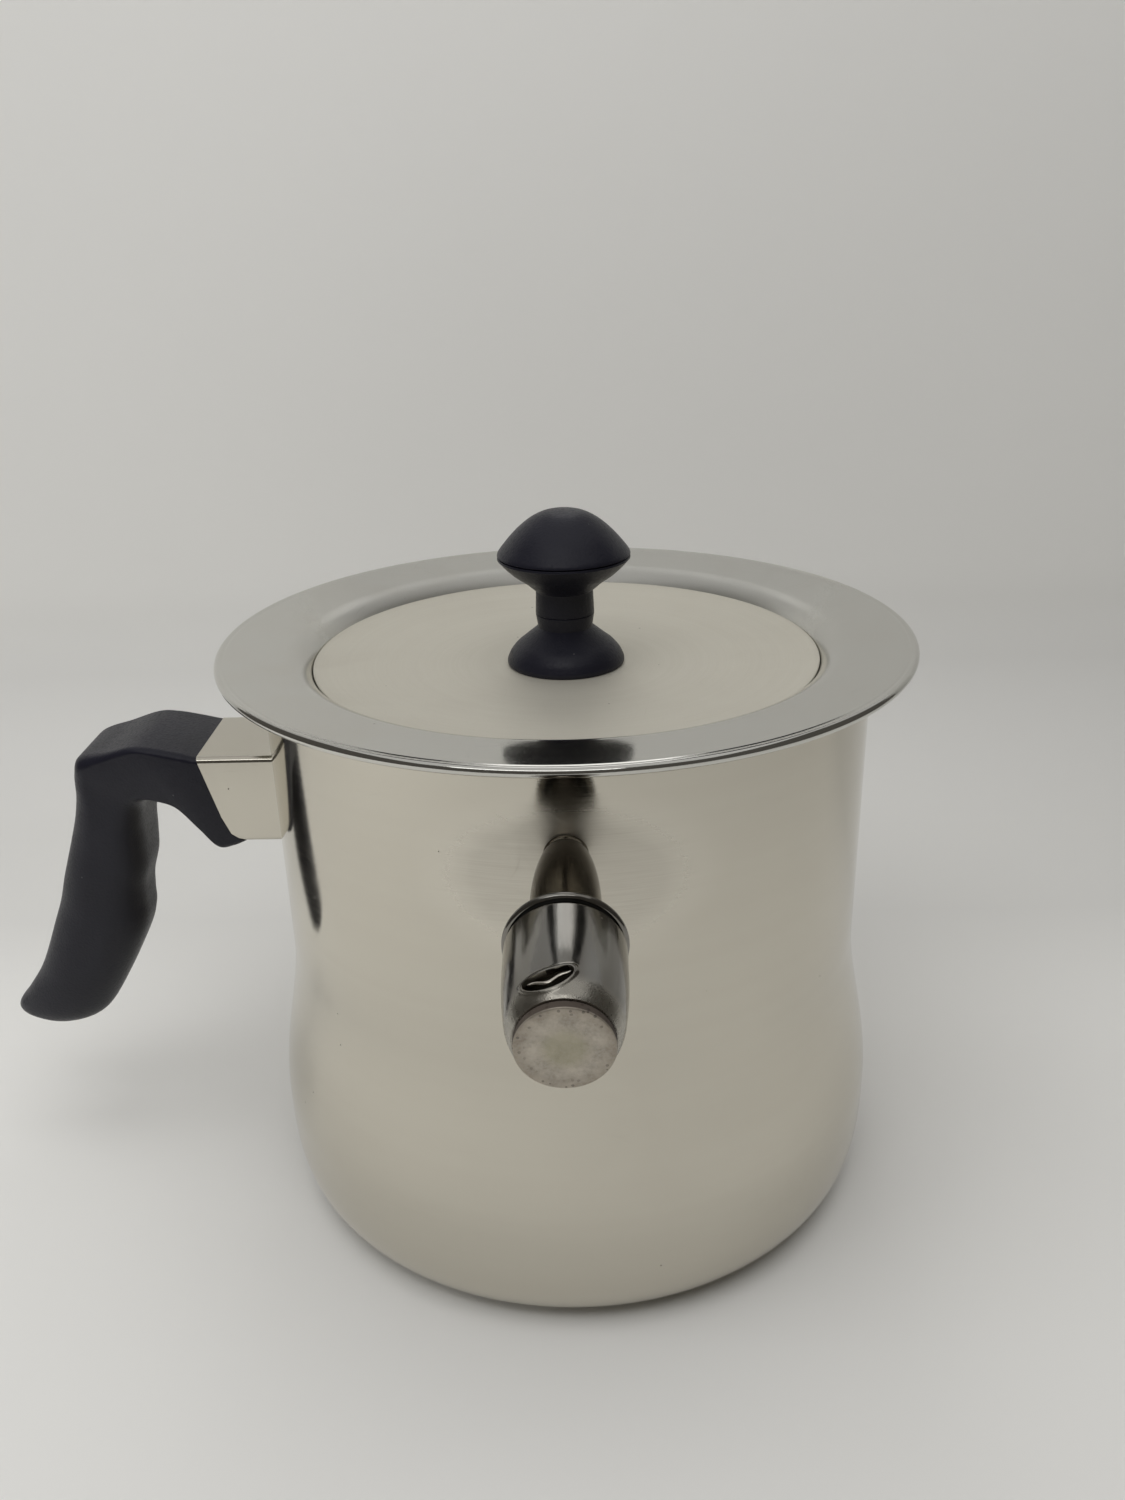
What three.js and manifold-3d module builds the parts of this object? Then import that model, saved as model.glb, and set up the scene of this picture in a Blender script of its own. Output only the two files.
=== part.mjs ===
// Water-jacketed double boiler with a lift-off lid and a pull-off whistle on its filler spout.
// Millimetres, +Z up. The origin is the middle of the base's underside, the spout points to -Y
// and the handle to -X.
import * as THREE from 'three';
import { mergeVertices } from 'three/addons/utils/BufferGeometryUtils.js';
import Module from 'manifold-3d';

const wasm = await Module();
wasm.setup();

// Sheet metal and clearances
const sheet = 0.9;
const thinSheet = 0.7;
const seatGap = 0.1;
const slideGap = 0.06;
const looseGap = 0.3;

// Outer shell, its waist, belly and floor drawn out from the neck under the rim
const neckRadius = 87.6;
const waistDraw = 0.1;
const waistRadius = neckRadius - waistDraw;
const waistHeight = 84.3;
const bellySwell = 6.8;
const bellyRadius = neckRadius + bellySwell;
const bellyHeight = 32.7;
const floorTuck = 13.9;
const floorRadius = bellyRadius - floorTuck;
const cornerPower = 3.3;

// Base disc under the body
const baseMargin = 2.5;
const baseRadius = floorRadius - baseMargin;
const basePan = 0.5;
const baseHeight = 3;

// Rim and inner pot
const rimHeight = 174.9;
const rimOverhang = 12.4;
const rimRadius = neckRadius + rimOverhang;
const rollRadius = 1.3;
const jacketWidth = 15.1;
const mouthRadius = neckRadius - jacketWidth;
const mouthCurve = 9.1;
const potFloorHeight = 30;
const potCorner = 16;

// The flange rises a little from the mouth's curve to the middle of its rolled edge.
const flangeRise = 1.35;
const mouthCentre = [mouthRadius + mouthCurve, rimHeight - flangeRise - mouthCurve];
const rollCentre = [rimRadius - rollRadius, rimHeight - rollRadius];
const flangeSlope = Math.atan2(flangeRise, rollCentre[0] - mouthCentre[0]);

// Lid, its edge resting on the mouth's curve
const lidOverlap = 0.8;
const lidRadius = mouthRadius + lidOverlap;
const lidSheet = 0.8;
const lidSeatRadius = 18;
const lidDish = 3.65;
const lidEdgeRound = 0.5;

// Knob, heights above the lid's flat middle
const knobFootRadius = 17.15;
const knobFootLip = 0.8;
const knobFootHeight = 1.4;
const knobWaistRadius = 7.9;
const knobWaistHeight = 11;
const knobJointRadius = 8.5;
const knobJointHeight = 15.1;
const knobNeckRadius = 8.25;
const knobNeckHeight = 21.8;
const knobHeadRadius = 19.05;
const knobSeamHeight = 32.1;
const knobSeamDepth = 0.7;
const knobTopHeight = 45;
const knobScrewRadius = 2.2;
const knobBore = knobScrewRadius + seatGap;
const knobScrewLength = 28;
const knobScrewHeadRadius = 4.4;
const knobScrewHeadHeight = 2.4;
const knobWasherRadius = 6;
const knobWasherThickness = 1;

// Filler spout, measured along its axis from the wall
const spoutDrop = 27.7;
const spoutHeight = rimHeight - spoutDrop;
const spoutDroop = THREE.MathUtils.degToRad(5);
const spoutInset = 2.2;
const spoutRootRadius = 5.1;
const spoutRootBead = 0.35;
const spoutBeadLength = 1.2;
const spoutConeLength = 27.5;
const spoutConeRadius = 8.1;
const spoutConePower = 3;
const spoutStep = 0.5;
const spoutStepLength = 1.3;
const spoutNeckRadius = 8;
const spoutWallThickness = 0.8;

// Whistle, along the spout's axis from the wall. Shares are of its length from mouth to end.
const whistleMouth = 34.1;
const whistleLength = 30.7;
const whistleEnd = whistleMouth + whistleLength;
const spoutOverlap = 12.4;
const spoutLength = whistleMouth + spoutOverlap;
const whistleRadius = 13.1;
const whistleRingStep = 0.5;
const whistleRingRadius = whistleRadius + whistleRingStep;
const whistleRingWidth = 2.9;
const whistleRingBore = whistleRingRadius - whistleRingWidth;
const whistleRingLength = 1.9;
const whistleGroove = 1.5;
const whistleMiddleShare = 0.5;
const whistleMiddleRadius = 12.95;
const whistleShoulderShare = 0.86;
const whistleShoulderRadius = 11.95;
const whistleTurnShare = 0.96;
const whistleTurnRadius = 11.1;
const whistleEndRadius = 10.4;
const whistleMouthRound = 0.6;
const whistlePlugStep = 1.5;
const whistlePlugRadius = whistleEndRadius - whistlePlugStep;
const whistlePlugLength = 2.4;
const whistleDiscStep = 0.4;
const whistleDiscRadius = whistleEndRadius - whistleDiscStep;
const whistleDiscThickness = 2.1;
const whistleEndRound = 0.4;
const sleeveLength = 8.6;
const soundDiscShares = [0.6, 0.73];
const soundDiscThickness = 0.6;
const soundDiscDome = 1.2;
const soundHoleRadius = 1.6;
const slotShare = 0.82;
const slotHalfLength = 5.3;
const slotHalfWidth = 2.15;
const slotBow = 1.45;
const slotAngle = THREE.MathUtils.degToRad(15.5);
const slotTilt = THREE.MathUtils.degToRad(9);
const slotLip = 0.4;
const slotPower = 2.2;

// Handle ferrule. Its grip end is cut back below the top: shares of its length and depth.
const ferruleDrop = 31.5;
const ferruleTop = rimHeight - ferruleDrop;
const ferruleDepth = 27.4;
const ferruleBottom = ferruleTop - ferruleDepth;
const ferruleLength = 21;
const ferruleTopReach = neckRadius + ferruleLength;
const ferruleHalfWidth = 17;
const ferruleTuck = 3.6;
const ferruleWall = 0.8;
const faceShares = [[0, 0], [0.25, 0.7], [0.36, 0.9], [0.55, 1]];
const ferruleRoundShare = 0.12;

// Bracket, tongue and screw inside the handle
const bracketHalfWidth = 11;
const bracketFoot = 1.6;
const bracketMargin = 5;
const bracketBottom = ferruleBottom + bracketMargin;
const bracketTop = ferruleTop - bracketMargin;
const tongueHalfWidth = 7;
const tongueThickness = 3.2;
const tongueOverhang = 9.4;
const tongueReach = ferruleTopReach + tongueOverhang;
const tenonSpace = 3.9;
const tenonReach = neckRadius + tenonSpace;
const gripScrewBack = 2.6;
const gripScrewReach = ferruleTopReach - gripScrewBack;
const gripScrewRadius = 2;
const gripScrewHeadRadius = 3.4;
const gripScrewHead = 2.2;
const gripScrewDepth = 5;
const gripScrewSeat = ferruleBottom + gripScrewDepth;
const gripScrewPast = 1.3;
const gripWasher = 0.6;

// Grip. Each row of shares gives one cross-section: where its outer and its inner edge lie, across
// from the ferrule's end and down from the top, its width against the ferrule's, and how much of
// each side its corners take. The first row lies inside the ferrule's end, which cuts the grip's
// face.
const gripLength = 75.8;
const gripRise = 2.8;
const gripTop = ferruleTop + gripRise;
const gripDrop = 101.6;
const gripShares = [
  [-0.05, 0.03, -0.15, 0.3, 1, 0.12],
  [0, 0.03, -0.1, 0.315, 1, 0.12],
  [0.08, 0.015, -0.04, 0.32, 1, 0.14],
  [0.18, 0, 0.02, 0.265, 0.99, 0.17],
  [0.26, -0.002, 0.1, 0.195, 0.97, 0.2],
  [0.37, 0.02, 0.185, 0.175, 0.92, 0.34],
  [0.483, 0.042, 0.24, 0.18, 0.89, 0.48],
  [0.522, 0.095, 0.275, 0.215, 0.87, 0.62],
  [0.54, 0.17, 0.295, 0.29, 0.855, 0.68],
  [0.565, 0.245, 0.301, 0.36, 0.845, 0.71],
  [0.6, 0.32, 0.327, 0.43, 0.83, 0.74],
  [0.635, 0.39, 0.34, 0.5, 0.82, 0.77],
  [0.67, 0.46, 0.352, 0.56, 0.81, 0.8],
  [0.705, 0.54, 0.378, 0.62, 0.805, 0.82],
  [0.75, 0.62, 0.42, 0.695, 0.8, 0.84],
  [0.845, 0.78, 0.5, 0.845, 0.765, 0.88],
  [0.935, 0.88, 0.6, 0.955, 0.69, 0.91],
  [0.985, 0.925, 0.7, 0.995, 0.57, 0.93],
  [1, 0.945, 0.8, 1, 0.41, 0.94],
];

// Facets
const roundFacets = 48;
const knobFacets = 24;
const whistleFacets = 28;
const screwFacets = 14;
const arcSteps = 5;
const cornerSteps = 3;
const mouthSteps = 3;
const gripSteps = 2;

// Colours
const steel = { color: 0xbdb8ae, roughness: 0.24, metalness: 1 };
const satinSteel = { color: 0xa8a399, roughness: 0.42, metalness: 1 };
const stainedSteel = { color: 0x97907f, roughness: 0.58, metalness: 0.9 };
const aluminium = { color: 0xb9bbbd, roughness: 0.5, metalness: 1 };
const blackPlastic = { color: 0x16161a, roughness: 0.55, metalness: 0 };
const softRubber = { color: 0x2a2a2c, roughness: 0.8, metalness: 0 };

const model = new THREE.Group();
model.name = 'double_boiler';

function addPiece(name, geometry, finish) {
  const piece = new THREE.Mesh(geometry, new THREE.MeshStandardMaterial(finish));
  piece.name = name;
  model.add(piece);
}

// Turns a profile of [radius, height] points about the Z axis. The profile runs anticlockwise
// around the material, and starts and ends on the axis or at the same point.
function turned(profile, facets) {
  const points = profile.map(([radius, height]) => new THREE.Vector2(radius, height));
  const geometry = new THREE.LatheGeometry(points, facets);
  geometry.rotateX(Math.PI / 2);
  return geometry;
}

// Ring profiles end where they begin.
function closed(profile) {
  return [...profile, profile[0]];
}

// Points on a circular arc, angles in degrees from the radial direction.
function arc(centre, radius, fromDegrees, toDegrees, steps) {
  const points = [];
  for (let i = 0; i <= steps; i++) {
    const angle = THREE.MathUtils.degToRad(fromDegrees + (toDegrees - fromDegrees) * i / steps);
    points.push([centre[0] + radius * Math.cos(angle), centre[1] + radius * Math.sin(angle)]);
  }
  return points;
}

// Joins rings of points, each listed the same way round, into a closed skin with flat ends.
function lofted(rings, joined) {
  const count = rings[0].length;
  const positions = rings.flat().flat();
  const faces = [];
  const last = joined ? rings.length : rings.length - 1;
  for (let i = 0; i < last; i++) {
    const next = (i + 1) % rings.length;
    for (let j = 0; j < count; j++) {
      const k = (j + 1) % count;
      const corners = [i * count + j, i * count + k, next * count + k, next * count + j];
      faces.push(corners[0], corners[1], corners[2], corners[0], corners[2], corners[3]);
    }
  }
  if (!joined) {
    for (const [ring, turn] of [[0, -1], [rings.length - 1, 1]]) {
      const hub = positions.length / 3;
      const middle = [0, 1, 2].map((axis) => (
        rings[ring].reduce((sum, point) => sum + point[axis], 0) / count
      ));
      positions.push(...middle);
      for (let j = 0; j < count; j++) {
        const pair = [ring * count + j, ring * count + (j + 1) % count];
        faces.push(hub, ...(turn > 0 ? pair : pair.reverse()));
      }
    }
  }
  const geometry = new THREE.BufferGeometry();
  geometry.setAttribute('position', new THREE.Float32BufferAttribute(positions, 3));
  geometry.setIndex(faces);
  geometry.computeVertexNormals();
  return geometry;
}

// Corners nearer than this are one corner when a skin becomes a solid.
const mergeWithin = 1e-4;
function toSolid(geometry) {
  const bare = geometry.clone();
  bare.deleteAttribute('normal');
  bare.deleteAttribute('uv');
  const merged = mergeVertices(bare, mergeWithin);
  const index = merged.index.array;
  const kept = [];
  for (let i = 0; i < index.length; i += 3) {
    const [a, b, c] = [index[i], index[i + 1], index[i + 2]];
    if (a !== b && b !== c && c !== a) {
      kept.push(a, b, c);
    }
  }
  return new wasm.Manifold(new wasm.Mesh({
    numProp: 3,
    vertProperties: new Float32Array(merged.attributes.position.array),
    triVerts: new Uint32Array(kept),
  }));
}

function toGeometry(solid) {
  const mesh = solid.getMesh();
  const geometry = new THREE.BufferGeometry();
  geometry.setAttribute('position', new THREE.BufferAttribute(mesh.vertProperties, 3));
  geometry.setIndex(new THREE.BufferAttribute(mesh.triVerts, 1));
  geometry.computeVertexNormals();
  return geometry;
}

// A block between two corners, as a solid.
function block(low, high) {
  const size = low.map((value, axis) => high[axis] - value);
  const geometry = new THREE.BoxGeometry(...size);
  geometry.translate(...low.map((value, axis) => value + size[axis] / 2));
  return toSolid(geometry);
}

// An upright round bar, as a solid.
function bar(radius, bottom, top, facets) {
  return toSolid(turned([[0, bottom], [radius, bottom], [radius, top], [0, top]], facets));
}

// Base disc and its pan
const coreRadius = baseRadius - basePan - seatGap;
addPiece('base_core', turned([
  [0, basePan + seatGap],
  [coreRadius, basePan + seatGap],
  [coreRadius, baseHeight - seatGap],
  [0, baseHeight - seatGap],
], roundFacets), aluminium);
addPiece('base_cap', turned([
  [0, 0],
  [baseRadius - basePan, 0],
  [baseRadius, basePan],
  [baseRadius, baseHeight - seatGap],
  [baseRadius - basePan, baseHeight - seatGap],
  [baseRadius - basePan, basePan],
  [0, basePan],
], roundFacets), satinSteel);

function flangeHeight(radius) {
  return rimHeight - flangeRise + (radius - mouthCentre[0]) * Math.tan(flangeSlope);
}

// Outer shell: one side of its wall, drawn inwards by the inset, up to the flange's underside.
const wallTop = flangeHeight(neckRadius - sheet) - sheet - seatGap;
const cornerTurns = 8;
const wallTurns = 7;
function wallRadius(height) {
  const share = Math.min(1, (height - bellyHeight) / (waistHeight - bellyHeight));
  const eased = share * share * (3 - 2 * share);
  const upperShare = Math.max(0, (height - waistHeight) / (wallTop - waistHeight));
  return bellyRadius + (waistRadius - bellyRadius) * eased
    + (neckRadius - waistRadius) * upperShare;
}
function shellSide(inset) {
  const floor = baseHeight + inset;
  const points = [[0, floor]];
  for (let i = 0; i <= cornerTurns; i++) {
    const angle = Math.PI / 2 * i / cornerTurns;
    const across = Math.sin(angle) ** (2 / cornerPower);
    const up = 1 - Math.cos(angle) ** (2 / cornerPower);
    points.push([
      floorRadius + (bellyRadius - inset - floorRadius) * across,
      floor + (bellyHeight - floor) * up,
    ]);
  }
  for (let i = 1; i <= wallTurns; i++) {
    const height = bellyHeight + (waistHeight - bellyHeight) * i / wallTurns;
    points.push([wallRadius(height) - inset, height]);
  }
  points.push([neckRadius - inset, wallTop]);
  return points;
}
const spoutWall = wallRadius(spoutHeight);
const shellSolid = toSolid(turned([...shellSide(0), ...shellSide(sheet).reverse()], roundFacets));

// Moves a piece turned about Z onto the spout's axis, its zero on the outside of the wall.
function onSpout(geometry) {
  geometry.rotateX(Math.PI / 2 + spoutDroop);
  geometry.translate(0, -spoutWall, spoutHeight);
  return geometry;
}
const spoutHole = onSpout(turned([
  [0, -spoutInset * 2],
  [spoutRootRadius + seatGap, -spoutInset * 2],
  [spoutRootRadius + seatGap, spoutInset],
  [0, spoutInset],
], whistleFacets));
addPiece('outer_shell', toGeometry(shellSolid.subtract(toSolid(spoutHole))), steel);

// Inner pot with the pouring flange and its rolled edge
const flangeTurn = 90 + THREE.MathUtils.radToDeg(flangeSlope);
const flangeEnd = rollCentre[0] - rollRadius;
const cornerCentre = [mouthRadius + sheet - potCorner, potFloorHeight - sheet + potCorner];
const potProfile = [
  [0, potFloorHeight - sheet],
  ...arc(cornerCentre, potCorner, -90, 0, arcSteps),
  ...arc(mouthCentre, mouthCurve - sheet, 180, flangeTurn, arcSteps),
  [flangeEnd, flangeHeight(flangeEnd) - sheet],
  ...arc(rollCentre, rollRadius, -160, flangeTurn, arcSteps + 2),
  ...arc(mouthCentre, mouthCurve, flangeTurn, 180, arcSteps),
  ...arc(cornerCentre, potCorner - sheet, 0, -90, arcSteps),
  [0, potFloorHeight],
];
addPiece('inner_pot', turned(potProfile, roundFacets), steel);

// Lid: flat under the knob, then a shallow dish up to its edge.
const seatReach = mouthCentre[0] - lidRadius;
const lidSeatHeight = mouthCentre[1] + Math.sqrt(mouthCurve ** 2 - seatReach ** 2);
const lidEdgeHeight = lidSeatHeight + looseGap + lidSheet - lidEdgeRound / 2;
const lidCentreHeight = lidEdgeHeight - lidDish;
const dishTurns = 4;
function lidSide(drop) {
  const points = [];
  for (let i = 0; i <= dishTurns; i++) {
    const share = i / dishTurns;
    points.push([
      lidSeatRadius + (lidRadius - lidEdgeRound - lidSeatRadius) * share,
      lidCentreHeight - drop + (lidEdgeHeight - lidCentreHeight) * share * share,
    ]);
  }
  return points;
}
const lidBore = knobScrewRadius + looseGap;
addPiece('lid', turned(closed([
  [lidBore, lidCentreHeight - lidSheet],
  ...lidSide(lidSheet),
  [lidRadius, lidEdgeHeight - lidSheet + lidEdgeRound / 2],
  [lidRadius, lidEdgeHeight - lidEdgeRound / 2],
  ...lidSide(0).reverse(),
  [lidBore, lidCentreHeight],
]), roundFacets), steel);

// Knob: flared foot, lower head with its neck, and domed cap
function onLid(profile) {
  return profile.map(([radius, height]) => [radius, height + lidCentreHeight]);
}
const footFlareShares = [[0.88, 0.77], [0.7, 0.56], [0.49, 0.39], [0.25, 0.2]];
addPiece('knob_base', turned(closed(onLid([
  [knobBore, seatGap],
  [knobFootRadius - knobFootLip / 2, seatGap],
  [knobFootRadius, knobFootLip],
  [knobFootRadius, knobFootHeight - knobFootLip / 2],
  [knobFootRadius - knobFootLip / 2, knobFootHeight + knobFootLip / 2],
  ...footFlareShares.map(([out, down]) => [
    knobWaistRadius + (knobFootRadius - knobWaistRadius) * out,
    knobWaistHeight - (knobWaistHeight - knobFootHeight) * down,
  ]),
  [knobWaistRadius, knobWaistHeight],
  [knobJointRadius, knobJointHeight - seatGap],
  [knobBore, knobJointHeight - seatGap],
])), knobFacets), blackPlastic);

const headBulgeShares = [[0.09, 0.08], [0.31, 0.28], [0.57, 0.47], [0.81, 0.7]];
const seamBottom = knobSeamHeight - seatGap;
const screwSeatDrop = lidSheet + knobWasherThickness + 2 * seatGap;
const knobScrewTip = knobScrewLength - screwSeatDrop;
const knobBodyTop = knobHeadRadius - knobSeamDepth;
addPiece('knob_body', turned(onLid([
  [0, knobScrewTip + looseGap],
  [knobBore, knobScrewTip + looseGap],
  [knobBore, knobJointHeight],
  [knobJointRadius, knobJointHeight],
  [knobNeckRadius, knobNeckHeight],
  ...headBulgeShares.map(([out, up]) => [
    knobNeckRadius + (knobHeadRadius - knobNeckRadius) * out,
    knobNeckHeight + (knobSeamHeight - knobNeckHeight) * up,
  ]),
  [knobHeadRadius, seamBottom - knobSeamDepth],
  [knobBodyTop, seamBottom],
  [0, seamBottom],
]), knobFacets), blackPlastic);

const domeShares = [[0.965, 0.12], [0.79, 0.43], [0.635, 0.65], [0.49, 0.81], [0.325, 0.93]];
addPiece('knob_cap', turned(onLid([
  [0, knobSeamHeight],
  [knobBodyTop, knobSeamHeight],
  [knobHeadRadius, knobSeamHeight + knobSeamDepth / 2],
  ...domeShares.map(([out, up]) => [
    knobHeadRadius * out,
    knobSeamHeight + (knobTopHeight - knobSeamHeight) * up,
  ]),
  [0, knobTopHeight],
]), knobFacets), blackPlastic);

// Screw and washer under the lid
const screwSeat = lidCentreHeight - screwSeatDrop;
const washerBottom = screwSeat + seatGap;
addPiece('knob_washer', turned(closed([
  [lidBore, washerBottom],
  [knobWasherRadius, washerBottom],
  [knobWasherRadius, washerBottom + knobWasherThickness],
  [lidBore, washerBottom + knobWasherThickness],
]), knobFacets), satinSteel);
const driveShare = 0.45;
const screwChamferShare = 0.8;
addPiece('knob_screw', turned([
  [0, screwSeat - knobScrewHeadHeight / 2],
  [knobScrewHeadRadius * driveShare, screwSeat - knobScrewHeadHeight],
  [knobScrewHeadRadius * screwChamferShare, screwSeat - knobScrewHeadHeight],
  [knobScrewHeadRadius, screwSeat - knobScrewHeadHeight / 2],
  [knobScrewHeadRadius, screwSeat],
  [knobScrewRadius, screwSeat],
  [knobScrewRadius, screwSeat + knobScrewLength - knobScrewRadius],
  [0, screwSeat + knobScrewLength - knobScrewRadius / 2],
], screwFacets), satinSteel);

// Filler spout: root through the wall, cone, step and straight neck, with a bead at the root
const spoutBore = spoutNeckRadius - spoutWallThickness;
const stepEnd = spoutConeLength + spoutStepLength;
const coneShares = [0, 0.12, 0.26, 0.44, 0.68, 1];
function coneSide(inset) {
  return coneShares.map((share) => [
    spoutConeRadius - inset
      - (spoutConeRadius - spoutRootRadius) * (1 - share) ** spoutConePower,
    spoutConeLength * share,
  ]);
}
const spoutTube = toSolid(onSpout(turned(closed([
  [spoutRootRadius - spoutWallThickness, -spoutInset],
  [spoutRootRadius, -spoutInset],
  ...coneSide(0),
  [spoutConeRadius + spoutStep, spoutConeLength + spoutStep / 2],
  [spoutConeRadius + spoutStep, stepEnd],
  [spoutNeckRadius, stepEnd],
  [spoutNeckRadius, spoutLength],
  [spoutBore, spoutLength],
  ...coneSide(spoutWallThickness).reverse(),
]), whistleFacets)));
const beadMiddle = [spoutRootRadius, spoutBeadLength / 4];
const rootBead = toSolid(onSpout(turned(closed([
  [spoutRootRadius - spoutWallThickness / 2, -spoutRootBead],
  [spoutRootRadius + spoutRootBead, -spoutRootBead],
  ...arc(beadMiddle, spoutRootBead, 0, 90, arcSteps),
  [spoutRootRadius - spoutWallThickness / 2, beadMiddle[1] + spoutRootBead],
]), whistleFacets)));
const wallBar = bar(
  spoutWall + seatGap,
  spoutHeight - spoutConeRadius,
  spoutHeight + spoutConeRadius,
  roundFacets * 2,
);
addPiece('filler_spout', toGeometry(spoutTube.add(rootBead.subtract(wallBar))), steel);

// Whistle: mouth ring, soft sleeve, tapered cap, sound discs and end disc
const capStart = whistleMouth + whistleRingLength + whistleGroove;
const ringTube = whistleRingLength / 2;
const ringLip = whistleRadius - thinSheet + seatGap;
const ringEnd = capStart - seatGap;
addPiece('whistle_ring', onSpout(turned(closed([
  [whistleRingBore, whistleMouth + whistleEndRound],
  [whistleRingBore + whistleEndRound, whistleMouth],
  ...arc([whistleRingRadius - ringTube, whistleMouth + ringTube], ringTube, -90, 80, arcSteps),
  [ringLip, whistleMouth + whistleRingLength],
  [ringLip, ringEnd],
  [whistleRingBore, ringEnd],
]), whistleFacets)), steel);

function whistleStation(share) {
  return whistleMouth + whistleLength * share;
}
const whistleMiddle = whistleStation(whistleMiddleShare);
const whistleShoulder = whistleStation(whistleShoulderShare);
const whistleTurn = whistleStation(whistleTurnShare);
const capStations = [
  [capStart + whistleMouthRound, whistleRadius],
  [whistleMiddle, whistleMiddleRadius],
  [whistleShoulder, whistleShoulderRadius],
  [whistleTurn, whistleTurnRadius],
  [whistleEnd, whistleEndRadius],
];
function capRadius(station) {
  let after = capStations.findIndex(([end]) => end >= station);
  after = after < 1 ? 1 : after;
  const [from, fromRadius] = capStations[after - 1];
  const [to, toRadius] = capStations[after];
  return fromRadius + (toRadius - fromRadius) * (station - from) / (to - from);
}
const plugBore = whistlePlugRadius + seatGap;
const capMouth = [whistleRadius - whistleMouthRound, capStart + whistleMouthRound];
const capBare = toSolid(onSpout(turned(closed([
  [whistleRadius - thinSheet, capStart],
  ...arc(capMouth, whistleMouthRound, -90, 0, mouthSteps),
  ...capStations.slice(1).map(([station, radius]) => [radius, station]),
  [plugBore, whistleEnd],
  [plugBore, whistleEnd - thinSheet],
  [whistleEndRadius - thinSheet, whistleEnd - thinSheet],
  [whistleTurnRadius - thinSheet, whistleTurn - thinSheet / 2],
  [whistleShoulderRadius - thinSheet, whistleShoulder],
  [whistleMiddleRadius - thinSheet, whistleMiddle],
  [whistleRadius - thinSheet, capStart + whistleMouthRound],
]), whistleFacets)));

// Places a piece drawn around the slot's middle: X along the slot, Y away from the axis.
const slotStation = whistleStation(slotShare);
function atSlot(geometry) {
  geometry.rotateY(slotTilt);
  geometry.translate(0, 0, slotStation);
  geometry.rotateZ(slotAngle);
  return onSpout(geometry);
}
const slotTurns = 28;
const lipPoints = 6;
const slotFloor = capRadius(whistleEnd) / 2;
function slotOutline(turn, growth) {
  const angle = 2 * Math.PI * turn / slotTurns;
  const rounded = [Math.cos(angle), Math.sin(angle)].map((value) => (
    Math.sign(value) * Math.abs(value) ** (2 / slotPower)
  ));
  return [
    (slotHalfLength + growth) * rounded[0],
    (slotHalfWidth + growth) * rounded[1] + slotBow * (1 - rounded[0] ** 2),
  ];
}
const slotCutter = lofted([whistleRadius + slotHalfWidth, slotFloor].map((height) => {
  const ring = [];
  for (let i = 0; i < slotTurns; i++) {
    const [along, aside] = slotOutline(i, 0);
    ring.push([along, height, aside]);
  }
  return ring;
}), false);
function lipPoint(turn) {
  const [along, aside] = slotOutline(turn, slotLip / 2);
  const station = slotStation + aside * Math.cos(slotTilt) - along * Math.sin(slotTilt);
  const radius = capRadius(station);
  return new THREE.Vector3(along, Math.sqrt(radius * radius - along * along), aside);
}
const lipRings = [];
for (let i = 0; i < slotTurns; i++) {
  const middle = lipPoint(i);
  const run = lipPoint(i + 1).sub(lipPoint(i - 1)).normalize();
  const out = new THREE.Vector3(middle.x, middle.y, 0).normalize();
  const aside = new THREE.Vector3().crossVectors(run, out).normalize();
  const ring = [];
  for (let j = 0; j < lipPoints; j++) {
    const angle = 2 * Math.PI * j / lipPoints;
    ring.push(middle.clone()
      .addScaledVector(out, slotLip * Math.cos(angle))
      .addScaledVector(aside, slotLip * Math.sin(angle))
      .toArray());
  }
  lipRings.push(ring);
}
const slotLipSolid = toSolid(atSlot(lofted(lipRings, true)));
addPiece('whistle_cap', toGeometry(
  capBare.add(slotLipSolid).subtract(toSolid(atSlot(slotCutter))),
), steel);

addPiece('whistle_sleeve', onSpout(turned(closed([
  [spoutNeckRadius + slideGap, capStart + seatGap],
  [whistleRadius - thinSheet - seatGap, capStart + seatGap],
  [whistleRadius - thinSheet - seatGap, capStart + whistleMouthRound],
  [capRadius(capStart + sleeveLength) - thinSheet - seatGap, capStart + sleeveLength],
  [spoutNeckRadius + slideGap, capStart + sleeveLength],
]), whistleFacets)), softRubber);

const soundDiscNames = ['whistle_disc_inner', 'whistle_disc_outer'];
soundDiscShares.forEach((share, i) => {
  const station = whistleStation(share);
  const edge = capRadius(station + soundDiscThickness) - thinSheet - seatGap;
  addPiece(soundDiscNames[i], onSpout(turned(closed([
    [soundHoleRadius, station + soundDiscDome],
    [edge - soundDiscDome, station],
    [edge, station],
    [edge, station + soundDiscThickness],
    [edge - soundDiscDome, station + soundDiscThickness],
    [soundHoleRadius, station + soundDiscDome + soundDiscThickness],
  ]), whistleFacets)), satinSteel);
});

const discSeat = whistleEnd + seatGap;
const discTop = discSeat + whistleDiscThickness;
addPiece('whistle_end', onSpout(turned([
  [0, whistleEnd - whistlePlugLength],
  [whistlePlugRadius, whistleEnd - whistlePlugLength],
  [whistlePlugRadius, discSeat],
  [whistleDiscRadius, discSeat],
  [whistleDiscRadius, discTop - whistleEndRound],
  [whistleDiscRadius - whistleEndRound, discTop],
  [0, discTop],
], whistleFacets)), stainedSteel);

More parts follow.
